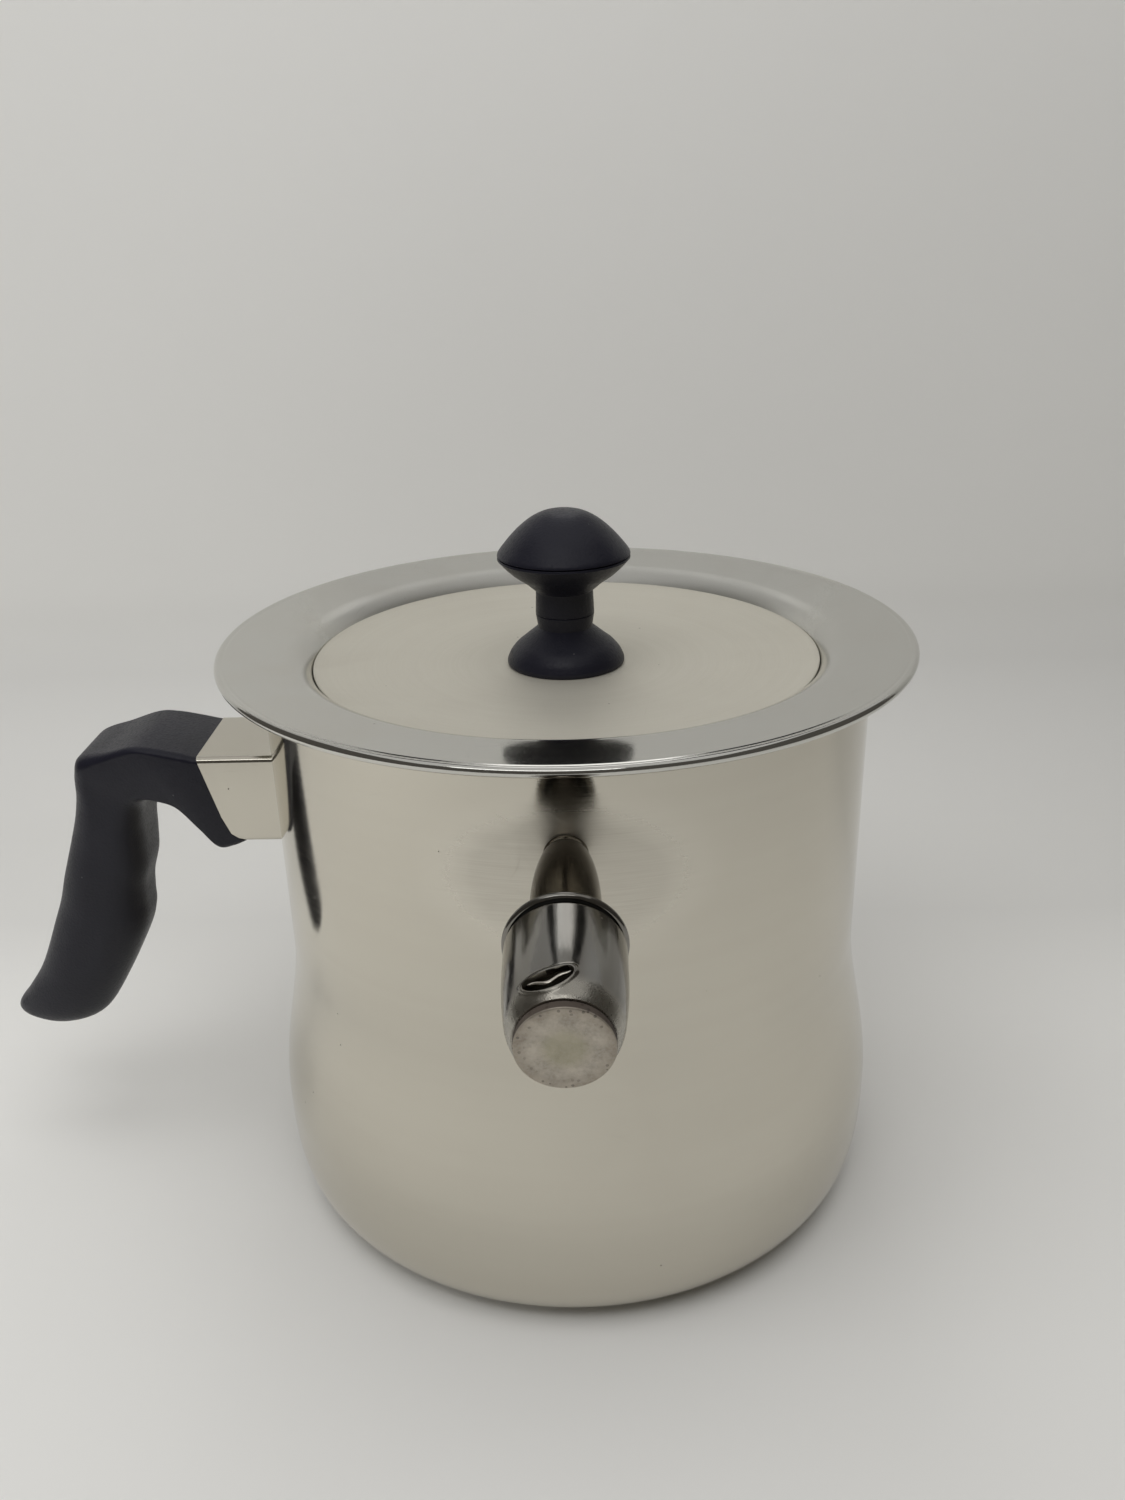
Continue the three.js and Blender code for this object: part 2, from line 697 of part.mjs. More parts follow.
// Handle sections: a ring around a middle point, its height side along the given direction.
// Each corner takes the round share of the half width and half height.
function sectionRing(middle, upward, halfHeight, halfWidth, roundShare) {
  const ring = [];
  const quarters = [[1, 1, 0], [-1, 1, 90], [-1, -1, 180], [1, -1, 270]];
  for (const [upSide, acrossSide, start] of quarters) {
    for (let i = 0; i <= cornerSteps; i++) {
      const angle = THREE.MathUtils.degToRad(start + 90 * i / cornerSteps);
      const up = halfHeight * (upSide * (1 - roundShare) + roundShare * Math.cos(angle));
      const across = halfWidth * (acrossSide * (1 - roundShare) + roundShare * Math.sin(angle));
      ring.push([middle[0] + upward[0] * up, across, middle[1] + upward[1] * up]);
    }
  }
  return ring;
}

// Ferrule, its hollow and the tenon that fills it share one outline, drawn inwards by the inset.
const ferruleMiddle = (ferruleTop + ferruleBottom) / 2;
const ferruleStart = neckRadius - ferruleTuck;
function ferruleRing(reach, inset) {
  return sectionRing(
    [-reach, ferruleMiddle],
    [0, 1],
    (ferruleTop - ferruleBottom) / 2 - inset,
    ferruleHalfWidth - inset,
    ferruleRoundShare,
  );
}
function ferruleSolid(inset, endReach) {
  return toSolid(lofted([ferruleStart, endReach].map((reach) => ferruleRing(reach, inset)), false));
}

// Grip and ferrule meet on a face of three planes, each slanting more than the one above it.
// Keeps the part of a solid on the pot's side of all of them, drawn back by the gap.
function potSide(solid, gap) {
  const points = faceShares.map(([back, down]) => [
    ferruleTopReach - ferruleLength * back,
    ferruleTop - ferruleDepth * down,
  ]);
  return points.slice(1).reduce((kept, lower, i) => {
    const upper = points[i];
    const rise = new THREE.Vector2(lower[0] - upper[0], upper[1] - lower[1]).normalize();
    const normal = new THREE.Vector2(rise.y, -rise.x);
    const offset = normal.dot(new THREE.Vector2(-upper[0], upper[1])) + gap;
    return kept.trimByPlane([normal.x, 0, normal.y], offset);
  }, solid);
}
const handleWall = bar(
  wallRadius(ferruleMiddle) + seatGap,
  ferruleBottom - ferruleWall,
  ferruleTop + ferruleWall,
  roundFacets * 2,
);
const ferruleEnd = ferruleTopReach + ferruleWall;
const ferruleTube = ferruleSolid(0, ferruleEnd)
  .subtract(ferruleSolid(ferruleWall, ferruleEnd))
  .subtract(handleWall);
addPiece('handle_ferrule', toGeometry(potSide(ferruleTube, seatGap)), steel);

// Bracket: curved foot on the shell and a flat tongue into the grip
const footOuter = bar(
  wallRadius(ferruleMiddle) + seatGap + bracketFoot,
  bracketBottom,
  bracketTop,
  roundFacets * 2,
);
const footWindow = block(
  [-tenonReach, -bracketHalfWidth, bracketBottom],
  [0, bracketHalfWidth, bracketTop],
);
const tongueBottom = ferruleMiddle - tongueThickness / 2;
const tongueTop = ferruleMiddle + tongueThickness / 2;
const tongue = block(
  [-tongueReach, -tongueHalfWidth, tongueBottom],
  [-ferruleStart, tongueHalfWidth, tongueTop],
);
function gripScrewBar(radius, bottom, top) {
  return bar(radius, bottom, top, screwFacets).translate([-gripScrewReach, 0, 0]);
}
addPiece('handle_bracket', toGeometry(
  footOuter.intersect(footWindow).add(tongue).subtract(handleWall)
    .subtract(gripScrewBar(gripScrewRadius + slideGap, bracketBottom, bracketTop)),
), satinSteel);

// Grip: swept sections with a tenon in the ferrule, a pocket for the tongue and a screw hole
function onGrip(across, down) {
  return new THREE.Vector2(
    -ferruleTopReach - gripLength * across,
    gripTop - gripDrop * down,
  );
}
const outerEdge = new THREE.SplineCurve(gripShares.map((row) => onGrip(row[0], row[1])));
const innerEdge = new THREE.SplineCurve(gripShares.map((row) => onGrip(row[2], row[3])));
const girth = new THREE.SplineCurve(gripShares.map((row) => new THREE.Vector2(row[4], row[5])));
const gripRings = [];
const gripTurns = (gripShares.length - 1) * gripSteps;
for (let i = 0; i <= gripTurns; i++) {
  const outer = outerEdge.getPoint(i / gripTurns);
  const inner = innerEdge.getPoint(i / gripTurns);
  const { x: widthShare, y: roundShare } = girth.getPoint(i / gripTurns);
  const half = outer.clone().sub(inner).multiplyScalar(0.5);
  const middle = outer.clone().add(inner).multiplyScalar(0.5);
  gripRings.push(sectionRing(
    middle.toArray(),
    half.clone().normalize().toArray(),
    half.length(),
    ferruleHalfWidth * widthShare,
    roundShare,
  ));
}
const tenonBlank = ferruleSolid(ferruleWall + seatGap * 2, ferruleTopReach - seatGap * 2);
const tenon = tenonBlank.trimByPlane([-1, 0, 0], tenonReach);
const ferruleSpace = potSide(block(
  [-ferruleEnd, -ferruleHalfWidth - ferruleWall, ferruleBottom - ferruleHalfWidth],
  [0, ferruleHalfWidth + ferruleWall, ferruleTop + ferruleWall],
), 0);
const pocket = block(
  [-tongueReach - looseGap, -tongueHalfWidth - looseGap, tongueBottom - looseGap],
  [-tenonReach + looseGap, tongueHalfWidth + looseGap, tongueTop + looseGap],
);
const gripScrewTop = tongueTop + gripScrewPast;
const gripScrewExit = ferruleBottom - gripScrewHeadRadius * 2;
const gripBody = toSolid(lofted(gripRings, false))
  .subtract(ferruleSpace)
  .add(tenon)
  .subtract(pocket)
  .subtract(gripScrewBar(gripScrewRadius + looseGap, bracketBottom, gripScrewTop + looseGap))
  .subtract(gripScrewBar(gripScrewHeadRadius + looseGap, gripScrewExit, gripScrewSeat));
addPiece('handle_grip', toGeometry(gripBody), blackPlastic);

const gripWasherTop = gripScrewSeat - seatGap;
const gripHeadTop = gripWasherTop - gripWasher - seatGap;
addPiece('handle_washer', turned(closed([
  [gripScrewRadius + seatGap, gripWasherTop - gripWasher],
  [gripScrewHeadRadius, gripWasherTop - gripWasher],
  [gripScrewHeadRadius, gripWasherTop],
  [gripScrewRadius + seatGap, gripWasherTop],
]), screwFacets).translate(-gripScrewReach, 0, 0), satinSteel);
addPiece('handle_screw', turned([
  [0, gripHeadTop - gripScrewHead / 2],
  [gripScrewHeadRadius * driveShare, gripHeadTop - gripScrewHead],
  [gripScrewHeadRadius * screwChamferShare, gripHeadTop - gripScrewHead],
  [gripScrewHeadRadius, gripHeadTop - gripScrewHead / 2],
  [gripScrewHeadRadius, gripHeadTop],
  [gripScrewRadius, gripHeadTop],
  [gripScrewRadius, gripScrewTop],
  [0, gripScrewTop],
], screwFacets).translate(-gripScrewReach, 0, 0), satinSteel);

export default model;
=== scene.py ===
import math

import bpy
import numpy as np
from mathutils import Matrix, Vector


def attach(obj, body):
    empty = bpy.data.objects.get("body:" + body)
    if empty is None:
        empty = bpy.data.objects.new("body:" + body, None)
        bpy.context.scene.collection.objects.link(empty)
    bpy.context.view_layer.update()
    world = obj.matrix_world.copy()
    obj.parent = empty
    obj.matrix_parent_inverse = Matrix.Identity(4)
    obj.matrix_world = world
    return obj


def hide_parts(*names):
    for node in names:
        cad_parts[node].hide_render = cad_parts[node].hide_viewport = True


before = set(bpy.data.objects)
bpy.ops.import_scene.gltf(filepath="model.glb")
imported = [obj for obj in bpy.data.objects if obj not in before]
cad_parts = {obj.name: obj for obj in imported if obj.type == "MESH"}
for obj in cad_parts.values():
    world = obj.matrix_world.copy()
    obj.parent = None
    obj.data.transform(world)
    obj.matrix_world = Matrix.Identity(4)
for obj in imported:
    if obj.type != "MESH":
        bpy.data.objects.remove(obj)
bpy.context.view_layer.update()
print("frame loaded")

mm = 0.001    # sizes below are in millimetres, meshes in metres

camera = {
    "place": (4.55, -347.73, 285.57),    # mm
    "yaw": -1.041,      # degrees, from +Y towards -X
    "pitch": 23.173,    # degrees below the horizon
    "roll": -1.494,
    "lens": 29.84,
    "film": 36.0,       # the picture's long side
}


def placeCamera(values):
    # forward = (sin yaw cos pitch, cos yaw cos pitch, -sin pitch); right and up then turn by the roll
    yaw, pitch, roll = (math.radians(values[key]) for key in ("yaw", "pitch", "roll"))
    level = math.cos(pitch)
    forward = Vector((math.sin(yaw) * level, math.cos(yaw) * level, -math.sin(pitch)))
    right = Vector((math.cos(yaw), -math.sin(yaw), 0))
    up = right.cross(forward)
    turnedRight = right * math.cos(roll) + up * math.sin(roll)
    turnedUp = up * math.cos(roll) - right * math.sin(roll)
    data = bpy.data.cameras.new("camera")
    data.lens = values["lens"]
    data.sensor_width = values["film"]
    data.clip_start = 0.01
    viewer = bpy.data.objects.new("camera", data)
    turn = Matrix((turnedRight, turnedUp, -forward)).transposed().to_4x4()
    viewer.matrix_world = Matrix.Translation(Vector(values["place"]) * mm) @ turn
    bpy.context.scene.collection.objects.link(viewer)
    bpy.context.scene.camera = viewer


placeCamera(camera)
print("camera placed")

# Shapes


def gridMesh(points, wrapRows=False, wrapColumns=True, capStart=False, capEnd=False):
    # points[row, column]; face = (r, c), (r, c + 1), (r + 1, c + 1), (r + 1, c), facing the side
    # from which columns run right and rows run up. A capped row is one point.
    rows, columns = points.shape[:2]
    index = np.arange(rows * columns).reshape(rows, columns)
    if capStart:
        index[0] = index[0, 0]
    if capEnd:
        index[-1] = index[-1, 0]
    if wrapRows:
        index = np.vstack([index, index[:1]])
    if wrapColumns:
        index = np.hstack([index, index[:, :1]])
    a, b = index[:-1, :-1], index[:-1, 1:]
    c, d = index[1:, 1:], index[1:, :-1]
    quads = np.stack([a, b, c, d], -1)
    first, last = int(capStart), len(quads) - int(capEnd)
    used, faces = np.unique(quads, return_inverse=True)
    faces = faces.reshape(quads.shape)
    sides = faces[first:last].reshape(-1, 4).tolist()
    if capStart:
        sides += faces[0][:, [0, 2, 3]].tolist()
    if capEnd:
        sides += faces[-1][:, [0, 1, 2]].tolist()
    return points.reshape(-1, 3)[used], sides


def shade(data, sharpAngle):
    # smooth but for edges over the sharp angle, in degrees
    data.shade_smooth()
    data.set_sharp_from_angle(angle=math.radians(sharpAngle))


def addPiece(name, shape, finish, sharpAngle=40):
    # a mesh from (points in mm, faces)
    points, faces = shape
    data = bpy.data.meshes.new(name)
    data.from_pydata((np.asarray(points) * mm).tolist(), [], faces)
    data.update()
    shade(data, sharpAngle)
    data.materials.append(finish)
    piece = bpy.data.objects.new(name, data)
    bpy.context.scene.collection.objects.link(piece)
    return piece


def settle(piece, body, slot, *nodes):
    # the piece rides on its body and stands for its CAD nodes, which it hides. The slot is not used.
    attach(piece, body)
    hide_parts(*nodes)


def cutOut(piece, shapes, sharpAngle=40):
    # the piece less each shape in turn, kept as a plain mesh
    for shape in shapes:
        tool = addPiece("tool", shape, piece.data.materials[0])
        cut = piece.modifiers.new("cut", "BOOLEAN")
        cut.operation = "DIFFERENCE"
        cut.solver = "MANIFOLD"
        cut.object = tool
        graph = bpy.context.evaluated_depsgraph_get()
        result = bpy.data.meshes.new_from_object(piece.evaluated_get(graph))
        piece.modifiers.clear()
        piece.data = result
        bpy.data.objects.remove(tool)
    shade(piece.data, sharpAngle)


def rounded(profile, steps=6, sideShare=0.49):
    # profile rows: (x, y, r). Each corner c becomes (1-t)^2 a + 2t(1-t) c + t^2 b, where a and b
    # lie r from c along its two sides, but not past their share of a side. r = 0 keeps the corner.
    table = np.asarray(profile, float)
    corners, reach = table[:, :2], table[:, 2:]
    before = np.vstack([corners[:1], corners[:-1]]) - corners
    after = np.vstack([corners[1:], corners[-1:]]) - corners
    ends = []
    for side in (before, after):
        length = np.linalg.norm(side, axis=1, keepdims=True)
        share = np.minimum(reach / np.maximum(length, 1e-9), sideShare)
        ends.append(corners + side * share)
    t = np.linspace(0, 1, steps + 1)[None, :, None]
    a, b, c = ends[0][:, None], ends[1][:, None], corners[:, None]
    curve = ((1 - t) ** 2 * a + 2 * t * (1 - t) * c + t ** 2 * b).reshape(-1, 2)
    apart = np.linalg.norm(np.diff(curve, axis=0), axis=1) > 1e-5
    return curve[np.concatenate([[True], apart])]


def smoothed(rows, steps):
    # uniform Catmull-Rom curve through the rows, its end rows doubled
    rows = np.asarray(rows, float)
    padded = np.vstack([rows[:1], rows, rows[-1:]])
    t = np.arange(steps)[None, :, None] / steps
    p0, p1, p2, p3 = (padded[i:len(rows) - 1 + i][:, None] for i in range(4))
    slope0, slope1 = (p2 - p0) / 2, (p3 - p1) / 2
    curve = ((2 * p1 - 2 * p2 + slope0 + slope1) * t ** 3
             + (3 * p2 - 3 * p1 - 2 * slope0 - slope1) * t ** 2 + slope0 * t + p1)
    return np.vstack([curve.reshape(-1, rows.shape[1]), rows[-1:]])


def refined(profile, step):
    # the same outline with no stretch longer than the step
    lengths = np.linalg.norm(np.diff(profile, axis=0), axis=1)
    counts = np.maximum(np.ceil(lengths / step).astype(int), 1)
    segment = np.repeat(np.arange(len(counts)), counts)
    share = (np.arange(counts.sum()) - np.repeat(np.cumsum(counts) - counts, counts))
    share = (share / counts[segment])[:, None]
    points = profile[segment] * (1 - share) + profile[segment + 1] * share
    return np.vstack([points, profile[-1:]])


def wholeTurn(count):
    # equal angles round a circle, in radians
    return np.arange(count) * 2 * math.pi / count


def spun(profile, segments):
    # (r, z) -> (r cos a, r sin a, z)
    angle = wholeTurn(segments)
    r, z = profile[:, :1], profile[:, 1:]
    return np.stack([r * np.cos(angle), r * np.sin(angle), z + 0 * angle], -1)


def turned(profile, segments, closed=False):
    # the spun outline, which runs anticlockwise round the metal. It starts and ends on the axis,
    # or is closed.
    points = spun(profile, segments)
    if closed:
        return gridMesh(points, wrapRows=True)
    return gridMesh(points, capStart=True, capEnd=True)


def capped(rings):
    # the rings with a flat end at each side
    ends = [ring.mean(0, keepdims=True).repeat(rings.shape[1], 0)[None] for ring in (rings[0], rings[-1])]
    return gridMesh(np.vstack([ends[0], rings, ends[1]]), capStart=True, capEnd=True)


def arc(centre, radius, start, end, steps):
    # centre + radius (cos a, sin a), a from start to end degrees
    angle = np.radians(np.linspace(start, end, steps + 1))
    return np.asarray(centre) + radius * np.stack([np.cos(angle), np.sin(angle)], -1)


def mapped(shape, place):
    # each point p of the shape -> place(p)
    return place(np.asarray(shape[0], float)), shape[1]


# Materials


def put(tree, kind, inputs=None, **options):
    # a node with its options set, and each input linked to a socket or given its number
    made = tree.nodes.new(kind)
    for key, value in options.items():
        setattr(made, key, value)
    for key, value in (inputs or {}).items():
        if isinstance(value, bpy.types.NodeSocket):
            tree.links.new(value, made.inputs[key])
        else:
            made.inputs[key].default_value = value
    return made


def calculate(tree, operation, *values):
    # one arithmetic step on numbers or sockets
    inputs = dict(enumerate(values))
    return put(tree, "ShaderNodeMath", inputs, operation=operation).outputs[0]


def times(tree, first, *others):
    # first times each of the others
    total = first
    for other in others:
        total = calculate(tree, "MULTIPLY", total, other)
    return total


def summed(tree, base, *parts):
    # base + mask * weight + ...
    total = base
    for value, weight in parts:
        total = calculate(tree, "ADD", total, times(tree, value, weight))
    return total


def spread(tree, value, low, high):
    # value from low..high to 0..1, held at the ends
    return put(tree, "ShaderNodeMapRange", {0: value, 1: low, 2: high}).outputs[0]


def tinted(tree, tone, *layers):
    # each layer is (mask, weight, colour): tone = tone (1 - mask weight) + colour mask weight
    for value, weight, colour in layers:
        inputs = {"Fac": times(tree, value, weight), "Color1": tone, "Color2": colour}
        tone = put(tree, "ShaderNodeMixRGB", inputs).outputs[0]
    return tone


def newGroup(name, inputs, outputs):
    # an empty group that takes numbers and gives numbers
    group = bpy.data.node_groups.new(name, "ShaderNodeTree")
    for title, value in inputs.items():
        socket = group.interface.new_socket(title, in_out="INPUT", socket_type="NodeSocketFloat")
        socket.default_value = value
    for title in outputs:
        group.interface.new_socket(title, in_out="OUTPUT", socket_type="NodeSocketFloat")
    return group, group.nodes.new("NodeGroupInput"), group.nodes.new("NodeGroupOutput")


def objectPlace(tree):
    # the place on the object, in metres
    return put(tree, "ShaderNodeTexCoord").outputs["Object"]


def axes(tree):
    # x, y and z of that place
    return put(tree, "ShaderNodeSeparateXYZ", {0: objectPlace(tree)}).outputs


def joined(tree, *parts):
    # x, y and z -> a place
    return put(tree, "ShaderNodeCombineXYZ", dict(enumerate(parts))).outputs[0]


def scaledPlace(tree, *scales):
    # (x, y, z) -> (x along, y across, z up)
    return joined(tree, *(times(tree, part, scale) for part, scale in zip(axes(tree), scales)))


def noise(tree, place, scale, detail=2.0, roughness=0.5, distortion=0.0):
    # 0..1, soft lumps about 1 / scale wide
    inputs = {"Vector": place, "Scale": scale, "Detail": detail, "Roughness": roughness,
              "Distortion": distortion}
    return put(tree, "ShaderNodeTexNoise", inputs).outputs["Fac"]


pattern = {    # each noise's scale, detail and roughness, and the range of it that is spread to 0..1
    "fineNoise": (1.0, 3.0, 0.6),
    "broadNoise": (1.0, 2.0),
    "ringNoise": (1.0, 3.0),
    "lineRange": (0.3, 0.7),
    "broadShare": 0.12,
    "smudgeNoise": (5.0, 0.6, 0.8),    # detail, roughness and distortion
    "smudgeRange": (0.42, 0.68),
    "wideRange": (0.4, 0.62),
    "wideShare": 0.35,
    "warpShare": 0.04,
    "warpScale": 18.0,
    "wornRange": (0.56, 0.64),
    "wornScale": 55.0,
    "patchRange": (1.0, 0.3),
}


def makeBrushing():
    # streaks = noise of (x along, y across, z up): long where a value is small, fine where it is
    # large. Broad is the same about eight times wider.
    scales = {"Along": 45.0, "Across": 45.0, "Up": 2600.0}
    group, given, out = newGroup("brushing", scales, ["Streaks", "Broad"])
    fineScales = [given.outputs[title] for title in scales]
    wideScales = [times(group, scale, pattern["broadShare"]) for scale in fineScales]
    fine = noise(group, scaledPlace(group, *fineScales), *pattern["fineNoise"])
    broad = noise(group, scaledPlace(group, *wideScales), *pattern["broadNoise"])
    group.links.new(spread(group, fine, *pattern["lineRange"]), out.inputs["Streaks"])
    group.links.new(spread(group, broad, *pattern["lineRange"]), out.inputs["Broad"])
    return group


def axisDistance(tree):
    # the square root of x squared plus y squared: distance from the pot's axis
    squares = [times(tree, part, part) for part in list(axes(tree))[:2]]
    return calculate(tree, "SQRT", calculate(tree, "ADD", *squares))


def makeRings():
    # rings = noise of (radius from the pot's axis, a little of x and y): marks of the spinning tool
    group, given, out = newGroup("turningRings", {"Cross": 1800.0, "Run": 20.0}, ["Rings"])
    moved = [times(group, axisDistance(group), given.outputs["Cross"])]
    moved += [times(group, part, given.outputs["Run"]) for part in list(axes(group))[:2]]
    rings = noise(group, joined(group, *moved), *pattern["ringNoise"])
    group.links.new(spread(group, rings, *pattern["lineRange"]), out.inputs["Rings"])
    return group


def makeSmudges():
    # smudges = soft noise times a wide one: wiped patches and finger marks
    group, given, out = newGroup("smudges", {"Scale": 30.0}, ["Smudges"])
    place, scale = objectPlace(group), given.outputs["Scale"]
    finger = noise(group, place, scale, *pattern["smudgeNoise"])
    near = spread(group, finger, *pattern["smudgeRange"])
    wideScale = times(group, scale, pattern["wideShare"])
    wide = spread(group, noise(group, place, wideScale, 2.0), *pattern["wideRange"])
    group.links.new(times(group, near, wide), out.inputs["Smudges"])
    return group


def makeSpecks():
    # specks = 1 within Size of some cell points, the cells picked by their own random value
    values = {"Scale": 260.0, "Size": 0.1, "Share": 0.12}
    group, given, out = newGroup("specks", values, ["Specks"])
    place = {"Vector": objectPlace(group), "Scale": given.outputs["Scale"]}
    cells = put(group, "ShaderNodeTexVoronoi", place)
    inside = calculate(group, "LESS_THAN", cells.outputs["Distance"], given.outputs["Size"])
    picked = put(group, "ShaderNodeSeparateColor", {0: cells.outputs["Color"]}).outputs[0]
    chosen = calculate(group, "LESS_THAN", picked, given.outputs["Share"])
    group.links.new(times(group, inside, chosen), out.inputs["Specks"])
    return group


def makeScratches():
    # scratches = thin cell borders of a warped Voronoi, kept where a wide noise is high
    group, given, out = newGroup("scratches", {"Scale": 60.0, "Width": 0.008}, ["Scratches"])
    place = objectPlace(group)
    warp = put(group, "ShaderNodeTexNoise", {"Vector": place, "Scale": pattern["warpScale"]})
    bend = {"Fac": pattern["warpShare"], "Color1": place, "Color2": warp.outputs["Color"]}
    bent = {"Vector": put(group, "ShaderNodeMixRGB", bend).outputs[0], "Scale": given.outputs["Scale"]}
    border = put(group, "ShaderNodeTexVoronoi", bent, feature="DISTANCE_TO_EDGE").outputs["Distance"]
    line = calculate(group, "LESS_THAN", border, given.outputs["Width"])
    worn = spread(group, noise(group, place, pattern["wornScale"], 3.0), *pattern["wornRange"])
    group.links.new(times(group, line, worn), out.inputs["Scratches"])
    return group


def makeGrain():
    # grain = fine noise times cell distance: the spark-eroded skin of a mould
    group, given, out = newGroup("mouldGrain", {"Scale": 1500.0}, ["Grain"])
    place = {"Vector": objectPlace(group), "Scale": given.outputs["Scale"]}
    cells = put(group, "ShaderNodeTexVoronoi", place).outputs["Distance"]
    fine = noise(group, place["Vector"], given.outputs["Scale"], 2.0)
    group.links.new(times(group, cells, fine), out.inputs["Grain"])
    return group


def makePatch():
    # patch = near squared: 1 in the middle of an ellipsoid with three half sizes, 0 outside it
    middles, halves = {"Middle" + axis: 0.0 for axis in "XYZ"}, {"Half" + axis: 0.1 for axis in "XYZ"}
    group, given, out = newGroup("patch", {**middles, **halves}, ["Patch"])
    total = 0.0
    for part, middle, half in zip(axes(group), middles, halves):
        away = calculate(group, "SUBTRACT", part, given.outputs[middle])
        share = calculate(group, "DIVIDE", away, given.outputs[half])
        total = calculate(group, "ADD", total, times(group, share, share))
    near = spread(group, total, *pattern["patchRange"])
    group.links.new(times(group, near, near), out.inputs["Patch"])
    return group


groups = {
    "brushing": makeBrushing(),
    "rings": makeRings(),
    "smudges": makeSmudges(),
    "specks": makeSpecks(),
    "scratches": makeScratches(),
    "grain": makeGrain(),
    "patch": makePatch(),
}


def newMaterial(name):
    # a material without nodes
    material = bpy.data.materials.new(name)
    material.use_nodes = True
    material.node_tree.nodes.clear()
    return material, material.node_tree


def mask(tree, name, output, **inputs):
    # one output of a shared group, with this material's own values
    made = put(tree, "ShaderNodeGroup", None, node_tree=groups[name])
    for key, value in inputs.items():
        made.inputs[key[0].upper() + key[1:]].default_value = value
    return made.outputs[output]


def patchAt(tree, middle, half):
    # the patch round a middle, with its half sizes, (x, y, z) in metres
    sizes = {"middle" + axis: value for axis, value in zip("XYZ", middle)}
    sizes.update({"half" + axis: value for axis, value in zip("XYZ", half)})
    return mask(tree, "patch", "Patch", **sizes)


def bumped(tree, height, strength, distance):
    # the normal, turned by the slope of the height times the distance in metres
    inputs = {"Height": height, "Strength": strength, "Distance": distance}
    return put(tree, "ShaderNodeBump", inputs).outputs["Normal"]


def finishMaterial(tree, inputs):
    # one Principled shader on the surface
    shader = put(tree, "ShaderNodeBsdfPrincipled", inputs)
    out = put(tree, "ShaderNodeOutputMaterial")
    tree.links.new(shader.outputs[0], out.inputs["Surface"])


tones = {
    "steel": (0.6, 0.57, 0.495, 1),
    "neutral": (0.625, 0.62, 0.585, 1),
    "lid": (0.645, 0.62, 0.54, 1),
    # dark: the whistle's steel made darker to stand in for the dark reflections it shows, painted shade
    "dark": (0.28, 0.275, 0.255, 1),
    "brown": (0.26, 0.24, 0.205, 1),
    "heated": (0.1, 0.075, 0.055, 1),
    "pale": (0.74, 0.71, 0.63, 1),
    "end": (0.58, 0.53, 0.45, 1),
    "aluminium": (0.75, 0.75, 0.76, 1),
    "stain": (0.56, 0.52, 0.45, 1),
    "speck": (0.1, 0.09, 0.08, 1),
    "plastic": (0.0085, 0.0085, 0.015, 1),
    "rubber": (0.02, 0.02, 0.02, 1),
    "dust": (0.15, 0.15, 0.15, 1),
    "black": (0, 0, 0, 1),
}
directions = {
    "round": {"along": 45.0, "across": 45.0, "up": 2600.0},
    "lengthwise": {"along": 1500.0, "across": 50.0, "up": 1500.0},
    "upright": {"along": 900.0, "across": 900.0, "up": 60.0},
}
polish = {
    "fineRing": {"cross": 1800.0, "run": 20.0},
    "broadRing": {"cross": 220.0, "run": 6.0},
    "smudgeScale": 30.0,
    "smudgeTint": 0.25,
    "speckSize": 0.07,
    "speckShare": 0.05,
    "speckTint": 0.5,
    "speckRoughness": 0.3,
    "scratchRoughness": 0.1,
    "scratchHeight": -0.8,
    "pitScale": 3200.0,
    "pitHeight": 6,
    "bump": 0.00002,
    "mouthStart": 0.077,
    "mouthEnd": 0.089,
}


def steelMaterial(name, colour, roughness, lines, streak, wear, wipe, relief, grain=0.0, zone=None,
                  mouth=0.0, metallic=1.0, worn=tones["stain"]):
    # roughness = base + lines * streak + smudges * wipe + marks + zone + mouth inside its radius.
    # The relief follows the lines, the scratches and a fine grain, more of it in the zone. The tone
    # goes to the worn one along the broad lines, and along the fine ones in the zone. Without
    # directions the lines are turning rings.
    material, tree = newMaterial(name)
    if lines is None:
        fine = mask(tree, "rings", "Rings", **polish["fineRing"])
        broad = mask(tree, "rings", "Rings", **polish["broadRing"])
    else:
        fine = mask(tree, "brushing", "Streaks", **lines)
        broad = mask(tree, "brushing", "Broad", **lines)
    smudges = mask(tree, "smudges", "Smudges", scale=polish["smudgeScale"])
    specks = mask(tree, "specks", "Specks", size=polish["speckSize"], share=polish["speckShare"])
    scratches = mask(tree, "scratches", "Scratches")
    pits = mask(tree, "grain", "Grain", scale=polish["pitScale"])
    tone = tinted(tree, colour, (smudges, polish["smudgeTint"], worn), (broad, wear, worn),
                  (specks, polish["speckTint"], tones["speck"]))
    marks = [(fine, streak), (smudges, wipe), (scratches, polish["scratchRoughness"]),
             (specks, polish["speckRoughness"]), (pits, grain)]
    bumps = [(scratches, polish["scratchHeight"]), (pits, grain * polish["pitHeight"])]
    if zone:
        patch = patchAt(tree, zone["middle"], zone["half"])
        marks.append((patch, zone["roughness"]))
        bumps.append((times(tree, patch, pits), zone["grain"]))
        tone = tinted(tree, tone, (patch, zone["share"], zone["tone"]),
                      (times(tree, patch, fine), zone["lines"], worn))
    if mouth:
        inside = spread(tree, axisDistance(tree), polish["mouthEnd"], polish["mouthStart"])
        marks.append((inside, mouth))
    finishMaterial(tree, {
        "Base Color": tone,
        "Metallic": metallic,
        "Roughness": summed(tree, roughness, *marks),
        "Normal": bumped(tree, summed(tree, fine, *bumps), relief, polish["bump"]),
    })
    return material


